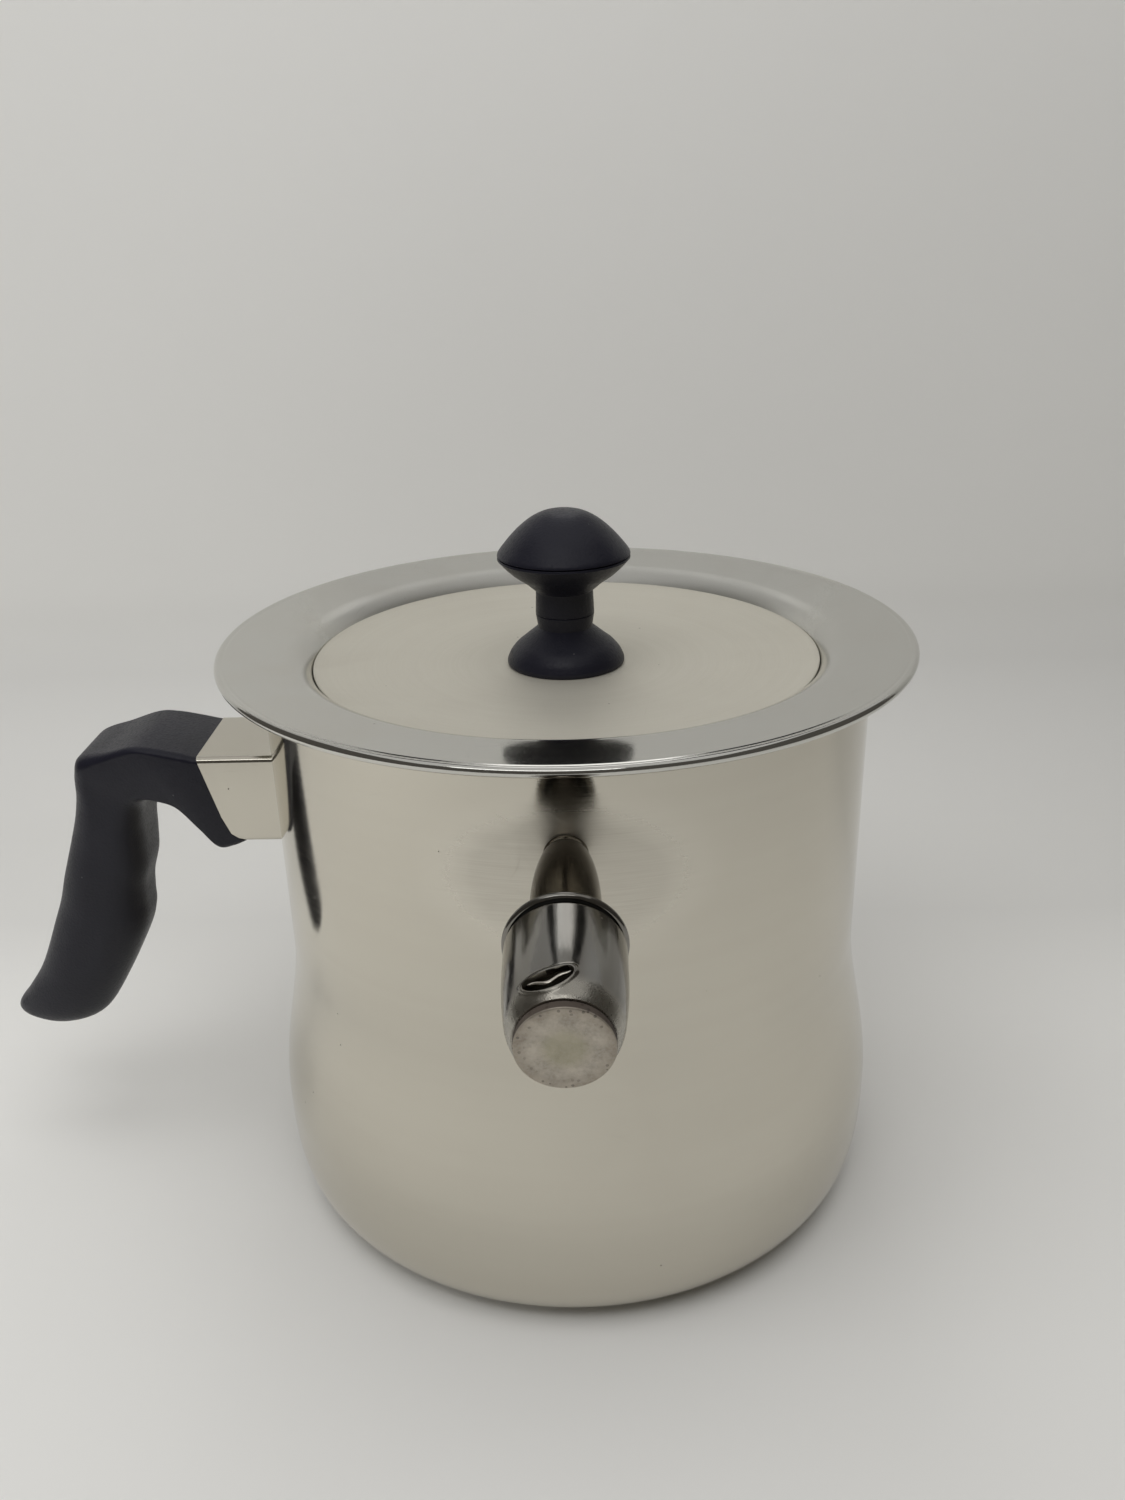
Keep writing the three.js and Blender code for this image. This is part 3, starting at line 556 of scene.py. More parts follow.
moulding = {
    "smudgeScale": 45.0,
    "smudgeTint": 0.25,
    "paler": 1.8,
    "dustScale": 420.0,
    "dustSize": 0.12,
    "dustShare": 0.02,
    "dustTint": 0.3,
    "smudgeRoughness": -0.06,
    "skinRoughness": 0.3,
    "sheen": 0.33,
    "bump": 0.0001,
}


def plasticMaterial(name, colour, roughness, grain, relief):
    # moulded skin: grain in the relief, worn sheen where smudges lie, a few pale dust specks
    material, tree = newMaterial(name)
    skin = mask(tree, "grain", "Grain", scale=grain)
    smudges = mask(tree, "smudges", "Smudges", scale=moulding["smudgeScale"])
    dust = mask(tree, "specks", "Specks", scale=moulding["dustScale"], size=moulding["dustSize"],
                share=moulding["dustShare"])
    paler = tuple(moulding["paler"] * value for value in colour[:3]) + (1,)
    tone = tinted(tree, colour, (smudges, moulding["smudgeTint"], paler),
                  (dust, moulding["dustTint"], tones["dust"]))
    marks = [(smudges, moulding["smudgeRoughness"]), (skin, moulding["skinRoughness"])]
    finishMaterial(tree, {
        "Base Color": tone,
        "Roughness": summed(tree, roughness, *marks),
        "Specular IOR Level": moulding["sheen"],
        "Normal": bumped(tree, skin, relief, moulding["bump"]),
    })
    return material


disc = {    # the whistle's end: places in metres
    "axis": (0.0, -0.99619, -0.08716),
    "faceStart": 0.14122,
    "sideEnd": 0.14105,
    "middle": (0.0, -0.1545, 0.1413),
    "middleHalf": (0.006, 0.01, 0.006),
    "faceHalf": (0.0125, 0.0125, 0.0125),
    "cloudNoise": (260.0, 6.0, 0.65),
    "cloudRange": (0.35, 0.65),
    "cloudTint": 0.75,
    "cloudTone": (0.27, 0.235, 0.19, 1),
    "fineNoise": (1500.0, 4.0, 0.6),
    "fineTint": 0.5,
    "fineTone": (0.68, 0.64, 0.58, 1),
    "middleTint": 0.45,
    "middleTone": (0.4, 0.38, 0.25, 1),
    # the edge tint and tone are partly a rim stain and partly painted shade of the gap round the disc
    "edgeStainAndShadeTint": 0.45,
    "edgeStainAndShadeTone": (0.24, 0.19, 0.14, 1),
    "pits": {"scale": 900.0, "size": 0.3, "share": 0.3},
    "pitTint": 0.9,
    # the side tint and tone paint shade on the disc's side, in the gap under the cap's end
    "sideShadeTint": 0.92,
    "sideShadeTone": (0.03, 0.02, 0.015, 1),
    "metallic": 0.85,
    "roughness": 0.5,
    "fineRoughness": 0.12,
    "sideShadeRoughness": 0.3,
    "cloudHeight": 0.6,
    "pitHeight": -0.6,
    "relief": 0.3,
    "bump": 0.00004,
}


def stainedMaterial(name, colour):
    # end disc: mottled stains, a browner middle, an edge darkened partly by a rim stain and partly by
    # painted shade of the gap round the disc, dark pits near the edge, and painted shade on the side,
    # where the place along the axis lies below the face
    material, tree = newMaterial(name)
    place = objectPlace(tree)
    cloudy = spread(tree, noise(tree, place, *disc["cloudNoise"]), *disc["cloudRange"])
    fine = spread(tree, noise(tree, place, *disc["fineNoise"]), *pattern["lineRange"])
    middle = patchAt(tree, disc["middle"], disc["middleHalf"])
    face = patchAt(tree, disc["middle"], disc["faceHalf"])
    pits = mask(tree, "specks", "Specks", **disc["pits"])
    # the edge darkening is partly a rim stain and partly painted shade of the gap round the disc
    edge = calculate(tree, "SUBTRACT", 1.0, face)
    along = put(tree, "ShaderNodeVectorMath", {0: place, 1: disc["axis"]}, operation="DOT_PRODUCT")
    # painted shade: the side below the face, in the gap under the cap's end, turns near black, rougher and
    # not metallic
    side = spread(tree, along.outputs["Value"], disc["faceStart"], disc["sideEnd"])
    tone = tinted(tree, colour, (cloudy, disc["cloudTint"], disc["cloudTone"]),
                  (fine, disc["fineTint"], disc["fineTone"]),
                  (middle, disc["middleTint"], disc["middleTone"]),
                  (edge, disc["edgeStainAndShadeTint"], disc["edgeStainAndShadeTone"]),
                  (times(tree, pits, edge), disc["pitTint"], tones["speck"]),
                  (side, disc["sideShadeTint"], disc["sideShadeTone"]))
    unshaded = calculate(tree, "SUBTRACT", 1.0, side)
    height = summed(tree, fine, (cloudy, disc["cloudHeight"]), (pits, disc["pitHeight"]))
    marks = [(fine, disc["fineRoughness"]), (side, disc["sideShadeRoughness"])]
    finishMaterial(tree, {
        "Base Color": tone,
        "Metallic": times(tree, unshaded, disc["metallic"]),
        "Roughness": summed(tree, disc["roughness"], *marks),
        "Normal": bumped(tree, height, disc["relief"], disc["bump"]),
    })
    return material


spoutZone = {    # zones lie round a middle, in metres
    "middle": (0.0, -0.0876, 0.14),
    "half": (0.042, 0.08, 0.027),
    "roughness": 0.34,
    "grain": 0.0,
    "lines": 0.4,
    "tone": tones["pale"],
    "share": 0.75,
}
backZone = {
    "middle": (0.0, 0.075, 0.17),
    "half": (0.13, 0.115, 0.06),
    "roughness": 0.4,
    "grain": 0.0,
    "lines": 0.0,
    "tone": tones["neutral"],
    "share": 0.0,
}
shoulderZone = {
    "middle": (0.0, -0.1518, 0.1415),
    "half": (0.03, 0.0052, 0.03),
    "roughness": 0.14,
    "grain": 9.0,
    "lines": 0.0,
    # the shoulder goes part of the way back to the steel tone: less painted shade where the shoulder's
    # highlight falls
    "tone": tones["steel"],
    "share": 0.4,
}
materials = {
    "shell": steelMaterial(
        "polishedShell", tones["steel"], 0.035, directions["round"], streak=0.07, wear=0.2, wipe=0.05,
        relief=0.25, grain=0.05, zone=spoutZone),
    "rim": steelMaterial(
        "mirrorRim", tones["neutral"], 0.02, None, streak=0.02, wear=0.0, wipe=0.02, relief=0.06,
        grain=0.25, zone=backZone, mouth=0.04),
    "lid": steelMaterial(
        "satinLid", tones["lid"], 0.45, None, streak=0.1, wear=0.12, wipe=0.06, relief=0.1, grain=0.3,
        metallic=0.62),
    # the whistle's dark base tone is painted shade, in place of the dark reflections on it
    "whistle": steelMaterial(
        "drawnWhistle", tones["dark"], 0.07, directions["lengthwise"], streak=0.08, wear=0.45, wipe=0.1,
        relief=0.2, grain=0.1, zone=shoulderZone, worn=tones["heated"]),
    "spout": steelMaterial(
        "drawnSpout", tones["brown"], 0.12, directions["lengthwise"], streak=0.1, wear=0.7, wipe=0.1,
        relief=0.2, grain=0.1, worn=tones["heated"]),
    "satin": steelMaterial(
        "satinSteel", tones["steel"], 0.32, directions["round"], streak=0.1, wear=0.15, wipe=0.08,
        relief=0.06),
    "tongue": steelMaterial(
        "polishedTongue", tones["pale"], 0.16, directions["upright"], streak=0.04, wear=0.0, wipe=0.02,
        relief=0.02),
    "ferrule": steelMaterial(
        "polishedFerrule", tones["steel"], 0.09, directions["upright"], streak=0.06, wear=0.15,
        wipe=0.06, relief=0.05),
    "end": stainedMaterial("stainedEnd", tones["end"]),
    "aluminium": steelMaterial(
        "aluminium", tones["aluminium"], 0.4, directions["round"], streak=0.1, wear=0.0, wipe=0.05,
        relief=0.06),
    "plastic": plasticMaterial("blackPlastic", tones["plastic"], 0.34, grain=1300.0, relief=0.7),
    "rubber": plasticMaterial("softRubber", tones["rubber"], 0.7, grain=900.0, relief=0.2),
}
print("materials made")

# Pot

shell = {
    "neckRadius": 87.6,
    "waistRadius": 87.5,
    "waistHeight": 84.3,
    "bellyRadius": 94.4,
    "bellyHeight": 32.7,
    "floorRadius": 80.5,
    "floorHeight": 3.0,
    "cornerPower": 3.3,
    "topHeight": 172.95,
    "sheet": 0.9,
    "segments": 320,
}


def shellSide(values, inset):
    # floor, then a superellipse corner to the belly, a smoothstep to the waist and a straight neck
    angle = np.linspace(0, math.pi / 2, 29)
    across = np.sin(angle) ** (2 / values["cornerPower"])
    rise = 1 - np.cos(angle) ** (2 / values["cornerPower"])
    floor = values["floorHeight"] + inset
    corner = np.stack([
        values["floorRadius"] + (values["bellyRadius"] - inset - values["floorRadius"]) * across,
        floor + (values["bellyHeight"] - floor) * rise,
    ], -1)
    share = np.linspace(0, 1, 31)[1:]
    eased = share ** 2 * (3 - 2 * share)
    waist = np.stack([
        values["bellyRadius"] + (values["waistRadius"] - values["bellyRadius"]) * eased - inset,
        values["bellyHeight"] + (values["waistHeight"] - values["bellyHeight"]) * share,
    ], -1)
    share = np.linspace(0, 1, 36)[1:]
    neck = np.stack([
        values["waistRadius"] + (values["neckRadius"] - values["waistRadius"]) * share - inset,
        values["waistHeight"] + (values["topHeight"] - values["waistHeight"]) * share,
    ], -1)
    return np.vstack([[[0, floor]], [[values["floorRadius"] / 2, floor]], corner, waist, neck])


spout = {
    "height": 147.2,
    "wall": 87.57,
    "droop": 5.0,
    "inset": 2.2,
    "rootRadius": 5.1,
    "rootGap": 0.1,
    "bead": 0.35,
    "beadSeat": 0.2,
    "beadLength": 1.2,
    "beadShare": 0.7,
    "beadRounds": (0.3, 0.2),
    "coneLength": 27.5,
    "coneRadius": 8.1,
    "conePower": 3,
    "step": 0.5,
    "stepLength": 1.3,
    "stepEdge": 0.1,
    "stepRounds": (0.2, 0.3),
    "neckRadius": 8.0,
    "neckRound": 0.25,
    "neckBore": 1,
    "length": 46.5,
    "sheet": 0.8,
    "segments": 128,
}


def onSpout(points):
    # turns about X by 90 + droop degrees, then moves the start to the outside of the wall
    angle = math.radians(90 + spout["droop"])
    x, y, z = points.T
    return np.stack([
        x,
        y * math.cos(angle) - z * math.sin(angle) - spout["wall"],
        y * math.sin(angle) + z * math.cos(angle) + spout["height"],
    ], -1)


def drum(radius, start, end, segments=128):
    # a solid cylinder from start to end
    return turned(np.array([[0, start], [radius, start], [radius, end], [0, end]], float), segments)


shellOutline = np.vstack([shellSide(shell, 0), shellSide(shell, shell["sheet"])[::-1]])
body = addPiece("body_shell", turned(shellOutline, shell["segments"]), materials["shell"])
hole = drum(spout["rootRadius"] + spout["rootGap"], -2 * spout["inset"], spout["inset"])
cutOut(body, [mapped(hole, onSpout)])
settle(body, "pot", "steel", "outer_shell")

vessel = {
    "rimHeight": 174.9,
    "rimRadius": 100.0,
    "roll": 1.3,
    "rollAngles": (-160, 112),
    "mouthRadius": 72.5,
    "mouthCurve": 9.1,
    "flangeRise": 1.35,
    "groove": 0.12,
    "grooveStep": 0.25,
    "grooveShoulder": 0.8,
    "floorHeight": 30.0,
    "corner": 16.0,
    "sheet": 0.9,
    "stretch": 6,
    "segments": 320,
}


def vesselOutline(values):
    # underside from the axis, round the mouth to the rolled edge, and back over the flange, which
    # rises from the mouth's curve and has a fine groove before the roll
    sheet, top, curve = values["sheet"], values["rimHeight"], values["mouthCurve"]
    groove, step, shoulder = values["groove"], values["grooveStep"], values["grooveShoulder"]
    mouth = (values["mouthRadius"] + curve, top - values["flangeRise"] - curve)
    roll = (values["rimRadius"] - values["roll"], top - values["roll"])
    corner = (values["mouthRadius"] + sheet - values["corner"],
              values["floorHeight"] - sheet + values["corner"])
    slope = values["flangeRise"] / (roll[0] - mouth[0])
    turn = 90 + math.degrees(math.atan(slope))
    end = roll[0] - values["roll"]
    flange = top - values["flangeRise"] + (end - mouth[0]) * slope
    return np.vstack([
        [[0, values["floorHeight"] - sheet]],
        arc(corner, values["corner"], -90, 0, 12),
        arc(mouth, curve - sheet, 180, turn, 16),
        [[end, flange - sheet]],
        arc(roll, values["roll"], *values["rollAngles"], 26),
        [[end + 2 * step, flange - groove], [end + step, flange - groove], [end, flange],
         [end - step, flange - step * slope], [end - shoulder, flange - shoulder * slope]],
        arc(mouth, curve, turn, 180, 20),
        arc(corner, values["corner"] - sheet, 0, -90, 12),
        [[0, values["floorHeight"]]],
    ])


vesselShape = turned(refined(vesselOutline(vessel), vessel["stretch"]), vessel["segments"])
settle(addPiece("inner_vessel", vesselShape, materials["rim"]), "pot", "steel", "inner_pot")

base = {"radius": 78.0, "pan": 0.5, "top": 2.9, "round": 0.5, "edge": 0.1, "stretch": 8, "segments": 192}
basePan = rounded([
    (0, 0, 0),
    (base["radius"], 0, base["round"]),
    (base["radius"], base["top"], base["edge"]),
    (base["radius"] - base["pan"], base["top"], base["edge"]),
    (base["radius"] - base["pan"], base["pan"], base["edge"]),
    (0, base["pan"], 0),
])
baseShape = turned(refined(basePan, base["stretch"]), base["segments"])
settle(addPiece("base_pan", baseShape, materials["satin"]), "pot", "satin_steel", "base_cap")

# Filler spout


def coneSide(values, inset):
    # r = cone radius - inset - (cone radius - root radius)(1 - t)^power, z = length t
    t = np.linspace(0, 1, 28)
    narrowing = (values["coneRadius"] - values["rootRadius"]) * (1 - t) ** values["conePower"]
    return np.stack([values["coneRadius"] - inset - narrowing, values["coneLength"] * t], -1)


def spoutOutline(values):
    # the bead, the cone, the step and the neck outside, then back along the bore
    root, inset, seat = values["rootRadius"], values["inset"], values["beadSeat"]
    cone, coneEnd, edge = values["coneRadius"], values["coneLength"], values["stepEdge"]
    neck, length, lip = values["neckRadius"], values["length"], values["neckRound"]
    sheet, step, stepEnd = values["sheet"], cone + values["step"], coneEnd + values["stepLength"]
    bead = rounded([
        (root, -inset, 0),
        (root, -seat, 0),
        (root + values["bead"], -seat, 0),
        (root + values["bead"], values["bead"], values["beadRounds"][0]),
        (root + values["rootGap"], values["beadLength"] * values["beadShare"], values["beadRounds"][1]),
    ], 4)
    shoulder = rounded([
        (cone, coneEnd + edge, 0),
        (step, coneEnd + values["step"] / 2, values["stepRounds"][0]),
        (step, stepEnd, values["stepRounds"][1]),
        (neck, stepEnd + edge, 0),
        (neck, length, lip),
        (neck - sheet, length, lip),
        (neck - sheet, length - values["neckBore"], 0),
    ], 4)
    bore = [[root - sheet, -inset]]
    return np.vstack([bead, coneSide(values, 0)[2:], shoulder, coneSide(values, sheet)[::-1], bore])


filler = addPiece("filler_tube", mapped(turned(spoutOutline(spout), spout["segments"], True), onSpout),
                  materials["spout"])
settle(filler, "pot", "steel", "filler_spout")

# Whistle

whistle = {
    "mouth": 34.1,
    "end": 64.8,
    "ringRadius": 13.6,
    "ringBore": 10.7,
    "ringLength": 1.9,
    "ringChamfer": 0.4,
    "ringAngles": (-90, 100),
    "seat": 0.6,
    "groove": 1.5,
    "radius": 13.1,
    "sheet": 0.7,
    "plug": 9.0,
    "mouthRound": 0.6,
    "taper": ((38.1, 13.1), (43.8, 13.07), (49.45, 12.95), (55.0, 12.6), (60.5, 11.95),
              (63.57, 11.1), (64.8, 10.4)),
    "outerStretch": 0.3,
    "innerStretch": 2.5,
    "slotStation": 59.27,
    "slotHalfLength": 5.3,
    "slotHalfWidth": 2.15,
    "slotBow": 1.45,
    "slotBowReach": 1.6,
    "slotAngle": 15.5,
    "slotTilt": 9.0,
    "slotPower": 2.2,
    "slotHeights": (16.0, 5.2),
    "lip": 0.4,
    "lipWidth": 0.55,
    "lipShare": 0.4,
    "segments": 288,
}
capFoot = whistle["mouth"] + whistle["ringLength"] + whistle["groove"]


def whistleRing(values):
    # a rolled bead: half a circle outside, a flat seat on the soft sleeve behind it
    tube, chamfer = values["ringLength"] / 2, values["ringChamfer"]
    mouth, bore = values["mouth"], values["ringBore"]
    bead = arc((values["ringRadius"] - tube, mouth + tube), tube, *values["ringAngles"], 18)
    back = mouth + values["ringLength"]
    return np.vstack([[[bore, mouth + chamfer], [bore + chamfer, mouth]], bead,
                      [[bore + values["seat"], back], [bore, back]]])


ringShape = mapped(turned(whistleRing(whistle), 128, True), onSpout)
settle(addPiece("whistle_bead", ringShape, materials["whistle"]), "whistle_unit", "steel", "whistle_ring")


def capOutline(values):
    # outside from the mouth to the end, then back along the inside, a sheet under the taper
    sheet, edge, end = values["sheet"], values["mouthRound"], values["end"]
    taper = [(r, z) for z, r in values["taper"]]
    mouth = arc((values["radius"] - edge, capFoot + edge), edge, -90, 0, 6)
    outside = refined(np.vstack([mouth, smoothed(taper, 16)[1:]]), values["outerStretch"])
    inside = np.array([
        [values["plug"], end],
        [values["plug"], end - sheet],
        [taper[-1][0] - sheet, end - sheet],
        [taper[-2][0] - sheet, taper[-2][1] - sheet / 2],
        [taper[-3][0] - sheet, taper[-3][1]],
        [taper[2][0] - sheet, taper[2][1]],
        [values["radius"] - sheet, capFoot + edge],
        [values["radius"] - sheet, capFoot],
    ])
    return outside, refined(inside, values["innerStretch"])


def atSlot(points):
    # turns by the tilt about Y, moves to the slot's station, and turns about the whistle's axis
    tilt, angle = math.radians(whistle["slotTilt"]), math.radians(whistle["slotAngle"])
    x, y, z = points.T
    along = x * math.cos(tilt) + z * math.sin(tilt)
    station = -x * math.sin(tilt) + z * math.cos(tilt) + whistle["slotStation"]
    return np.stack([along * math.cos(angle) - y * math.sin(angle),
                     along * math.sin(angle) + y * math.cos(angle), station], -1)


def slotDistance(points, values):
    # how far a point on the cap lies from the slot's edge, in mm, from the superellipse's own
    # measure. The cap's other side is far away.
    angle, tilt = math.radians(values["slotAngle"]), math.radians(values["slotTilt"])
    x = points[..., 0] * math.cos(angle) + points[..., 1] * math.sin(angle)
    y = -points[..., 0] * math.sin(angle) + points[..., 1] * math.cos(angle)
    z = points[..., 2] - values["slotStation"]
    along = x * math.cos(tilt) - z * math.sin(tilt)
    across = x * math.sin(tilt) + z * math.cos(tilt)
    share = np.clip(along / values["slotHalfLength"], -values["slotBowReach"], values["slotBowReach"])
    across = across - values["slotBow"] * (1 - share ** 2)
    power = values["slotPower"]
    measure = (np.abs(share) ** power + np.abs(across / values["slotHalfWidth"]) ** power) ** (1 / power)
    size = np.hypot(along, across) / np.maximum(measure, 1e-6)
    return np.where(y > 0, (measure - 1) * size, np.inf)


def capShape(values):
    # the outside is pushed out by lip * exp(-(distance / width)^2) round the slot
    outside, inside = capOutline(values)
    outline = np.vstack([outside, inside])
    points = spun(outline, values["segments"])
    away = slotDistance(points, values) - values["lipWidth"] * values["lipShare"]
    lift = values["lip"] * np.exp(-(away / values["lipWidth"]) ** 2)
    lift[len(outside):] = 0
    r = outline[:, :1]
    grown = (r + lift) / np.maximum(r, 1e-9)
    points[..., :2] *= grown[..., None]
    return gridMesh(points, wrapRows=True)


def slotCutter(values):
    # the slot's outline, at a height inside the cap and one above it: along = l cos a^(2 / power),
    # across = w sin a^(2 / power) + bow (1 - (along / l)^2)
    turn = wholeTurn(96)
    power = 2 / values["slotPower"]
    along = np.sign(np.cos(turn)) * np.abs(np.cos(turn)) ** power
    across = np.sign(np.sin(turn)) * np.abs(np.sin(turn)) ** power * values["slotHalfWidth"]
    across = across + values["slotBow"] * (1 - along ** 2)
    along = along * values["slotHalfLength"]
    return capped(np.stack([np.stack([along, 0 * along + height, across], -1)
                            for height in values["slotHeights"]]))


tongue = {
    "endShares": (-0.78, 0.86),
    "middleShare": 0.04,
    "taperShare": 0.84,
    "radius": 0.5,
    "flatShare": 0.7,
    "wave": 0.35,
    "waves": 6.5,
    "waveStart": 0.3,
    "shift": 0.35,
    "depth": 11.3,
    "blunt": 0.002,
}


def slotTongue(slot, values):
    # the sheet's edge pressed in below the slot: a thin bar that waves along the slot, in the slot's
    # frame: across = bow (1 - share^2) + wave cos(waves share + start) - shift, and
    # its radius is radius (1 - ((share - middle) / taper)^2)^0.5
    share = np.linspace(*values["endShares"], 60)
    turn = wholeTurn(20)
    wave = values["wave"] * np.cos(values["waves"] * share + values["waveStart"])
    across = slot["slotBow"] * (1 - share ** 2) + wave - values["shift"]
    fall = 1 - ((share - values["middleShare"]) / values["taperShare"]) ** 2
    size = values["radius"] * np.sqrt(np.maximum(fall, values["blunt"]))
    return capped(np.stack([
        share[:, None] * slot["slotHalfLength"] + 0 * turn,
        values["depth"] + values["flatShare"] * size[:, None] * np.sin(turn),
        across[:, None] + size[:, None] * np.cos(turn),
    ], -1))


def brightInside(piece, finish, depth):
    # faces that look at the whistle's axis and lie deeper than the depth take the second finish
    count = len(piece.data.polygons)
    middle, facing = np.empty(count * 3), np.empty(count * 3)
    piece.data.polygons.foreach_get("center", middle)
    piece.data.polygons.foreach_get("normal", facing)
    middle, facing = middle.reshape(-1, 3), facing.reshape(-1, 3)
    inward = (middle[:, :2] * facing[:, :2]).sum(1) < 0
    inside = inward & (np.hypot(middle[:, 0], middle[:, 1]) < depth * mm)
    piece.data.materials.append(finish)
    piece.data.polygons.foreach_set("material_index", inside.astype(np.int32))


cap = addPiece("whistle_tube", capShape(whistle), materials["whistle"])
cutOut(cap, [mapped(slotCutter(whistle), atSlot)])
tongueShape = mapped(mapped(slotTongue(whistle, tongue), atSlot), onSpout)
settle(addPiece("slot_tongue", tongueShape, materials["tongue"]), "whistle_unit", "steel")
brightInside(cap, materials["satin"], whistle["radius"] - whistle["sheet"] / 2)
coordinates = np.empty(len(cap.data.vertices) * 3)
cap.data.vertices.foreach_get("co", coordinates)
cap.data.vertices.foreach_set("co", (onSpout(coordinates.reshape(-1, 3) / mm) * mm).ravel())
cap.data.update()
settle(cap, "whistle_unit", "steel", "whistle_cap")

sleeve = {
    "bore": 8.06,
    "groove": 11.9,
    "radius": 12.3,
    "end": 12.2,
    "tuck": 1.4,
    "seat": 0.1,
    "shoulder": 0.15,
    "length": 8.6,
    "boreEdge": 0.2,
    "edge": 0.3,
}
sleeveFoot, sleeveEnd = capFoot - sleeve["tuck"], capFoot + sleeve["length"]
sleeveOutline = rounded([
    (sleeve["bore"], sleeveFoot, sleeve["boreEdge"]),
    (sleeve["groove"], sleeveFoot, sleeve["edge"]),
    (sleeve["groove"], capFoot + sleeve["seat"], 0),
    (sleeve["radius"], capFoot + sleeve["shoulder"], 0),
    (sleeve["end"], sleeveEnd, sleeve["edge"]),
    (sleeve["bore"], sleeveEnd, sleeve["edge"]),
    (sleeve["bore"], sleeveFoot + sleeve["edge"], 0),
], 3)
sleeveShape = mapped(turned(sleeveOutline, 96, True), onSpout)
settle(addPiece("whistle_grommet", sleeveShape, materials["rubber"]),
       "whistle_unit", "soft_rubber", "whistle_sleeve")

endDisc = {
    "radius": 10.0,
    "plug": 8.9,
    "seat": 64.9,
    "top": 67.0,
    "foot": 62.4,
    "round": 0.5,
    "dish": 0.12,
    "dishStart": 1.6,
    "dishEnd": 2.4,
    "dishRound": 0.6,
    "seatRound": 0.2,
    "stretch": 1.0,
    "segments": 160,
}
endTop = endDisc["top"] - endDisc["dish"]
endOutline = rounded([
    (0, endDisc["foot"], 0),
    (endDisc["plug"], endDisc["foot"], endDisc["round"]),
    (endDisc["plug"], endDisc["seat"], 0),
    (endDisc["radius"], endDisc["seat"], endDisc["seatRound"]),
    (endDisc["radius"], endDisc["top"], endDisc["round"]),
    (endDisc["radius"] - endDisc["dishStart"], endDisc["top"], endDisc["dishRound"]),
    (endDisc["radius"] - endDisc["dishEnd"], endTop, endDisc["dishRound"]),
    (0, endTop, 0),
], 5)
endShape = mapped(turned(refined(endOutline, endDisc["stretch"]), endDisc["segments"]), onSpout)
settle(addPiece("whistle_stopper", endShape, materials["end"]),
       "whistle_unit", "stained_steel", "whistle_end")
print("pot and whistle made")

# Lid and knob

lid = {
    "radius": 73.3,
    "bore": 2.5,
    "seat": 18.0,
    "centre": 165.38,
    "dish": 3.65,
    "sheet": 0.8,
    "edge": 0.4,
    "edgeTurn": 0.3,
    "segments": 256,
}


def lidOutline(values):
    # height = centre + dish s^2, s from the knob's seat to the edge, above and below the sheet
    sheet, centre, edge = values["sheet"], values["centre"], values["edge"]
    s = np.linspace(0, 1, 40)
    across = values["seat"] + (values["radius"] - edge - values["seat"]) * s
    under = np.stack([across, centre - sheet + values["dish"] * s ** 2], -1)
    over = np.stack([across, centre + values["dish"] * s ** 2], -1)[::-1]
    turn = np.linspace(values["edgeTurn"], math.pi - values["edgeTurn"], 7)
    rim = (under[-1] + over[0]) / 2 + edge * np.stack([np.sin(turn), -np.cos(turn)], -1)
    return np.vstack([[[values["bore"], centre - sheet]], under, rim, over, [[values["bore"], centre]]])


settle(addPiece("lid_sheet", turned(lidOutline(lid), lid["segments"], True), materials["lid"]),
       "lid_unit", "steel", "lid")

knob = {
    "bore": 2.3,
    "footRadius": 17.15,
    "footHeight": 1.4,
    "footRound": 0.5,
    "lipRound": 0.4,
    "footShares": ((0.975, 0.95), (0.88, 0.77), (0.7, 0.56), (0.49, 0.39), (0.25, 0.2), (0, 0)),
    "waistRadius": 7.9,
    "waistHeight": 11.0,
    "waistStep": (0.02, 0.2),
    "jointRadius": 8.5,
    "jointHeight": 15.1,
    "jointRound": 0.25,
    "gap": 0.1,
    "neckRadius": 8.25,
    "neckHeight": 21.8,
    "neckDrop": 0.3,
    "headRadius": 19.05,
    "headShares": ((0, 0), (0.09, 0.08), (0.31, 0.28), (0.57, 0.47), (0.81, 0.7)),
    "seamHeight": 32.1,
    "seamDepth": 0.7,
    "seamStart": 0.02,
    "seamFall": 0.8,
    "seamEdge": 0.3,
    "seamRound": 0.2,
    "seamTuck": 0.05,
    "topHeight": 45.0,
    "domeShares": ((1, 0.02), (0.965, 0.12), (0.79, 0.43), (0.635, 0.65), (0.49, 0.81), (0.325, 0.93),
                   (0.16, 0.985)),
    "domeEdge": 0.15,
    "domeRound": 0.1,
    "screwTip": 26.3,
    "sharpAngle": 50,
    "segments": 160,
}


def raised(outline):
    # the knob's heights start at the lid's centre
    return np.asarray(outline, float) + [0, lid["centre"]]


def knobFoot(values):
    # lens-shaped flare: radius = waist + width * out share, height = waist height - rise * down share
    waist, waistHeight, gap = values["waistRadius"], values["waistHeight"], values["gap"]
    width, rise = values["footRadius"] - waist, waistHeight - values["footHeight"]
    flare = [(waist + width * out, waistHeight - rise * down) for out, down in values["footShares"]]
    lip = rounded([
        (values["bore"], gap, 0),
        (values["footRadius"], gap, values["footRound"]),
        (values["footRadius"], values["footHeight"] - gap, values["lipRound"]),
        flare[0] + (0,),
    ])
    neck = rounded([
        (waist + values["waistStep"][0], waistHeight + values["waistStep"][1], 0),
        (values["jointRadius"], values["jointHeight"] - gap, values["jointRound"]),
        (values["bore"], values["jointHeight"] - gap, 0),
    ])
    return np.vstack([lip, smoothed(flare, 8)[1:], neck])


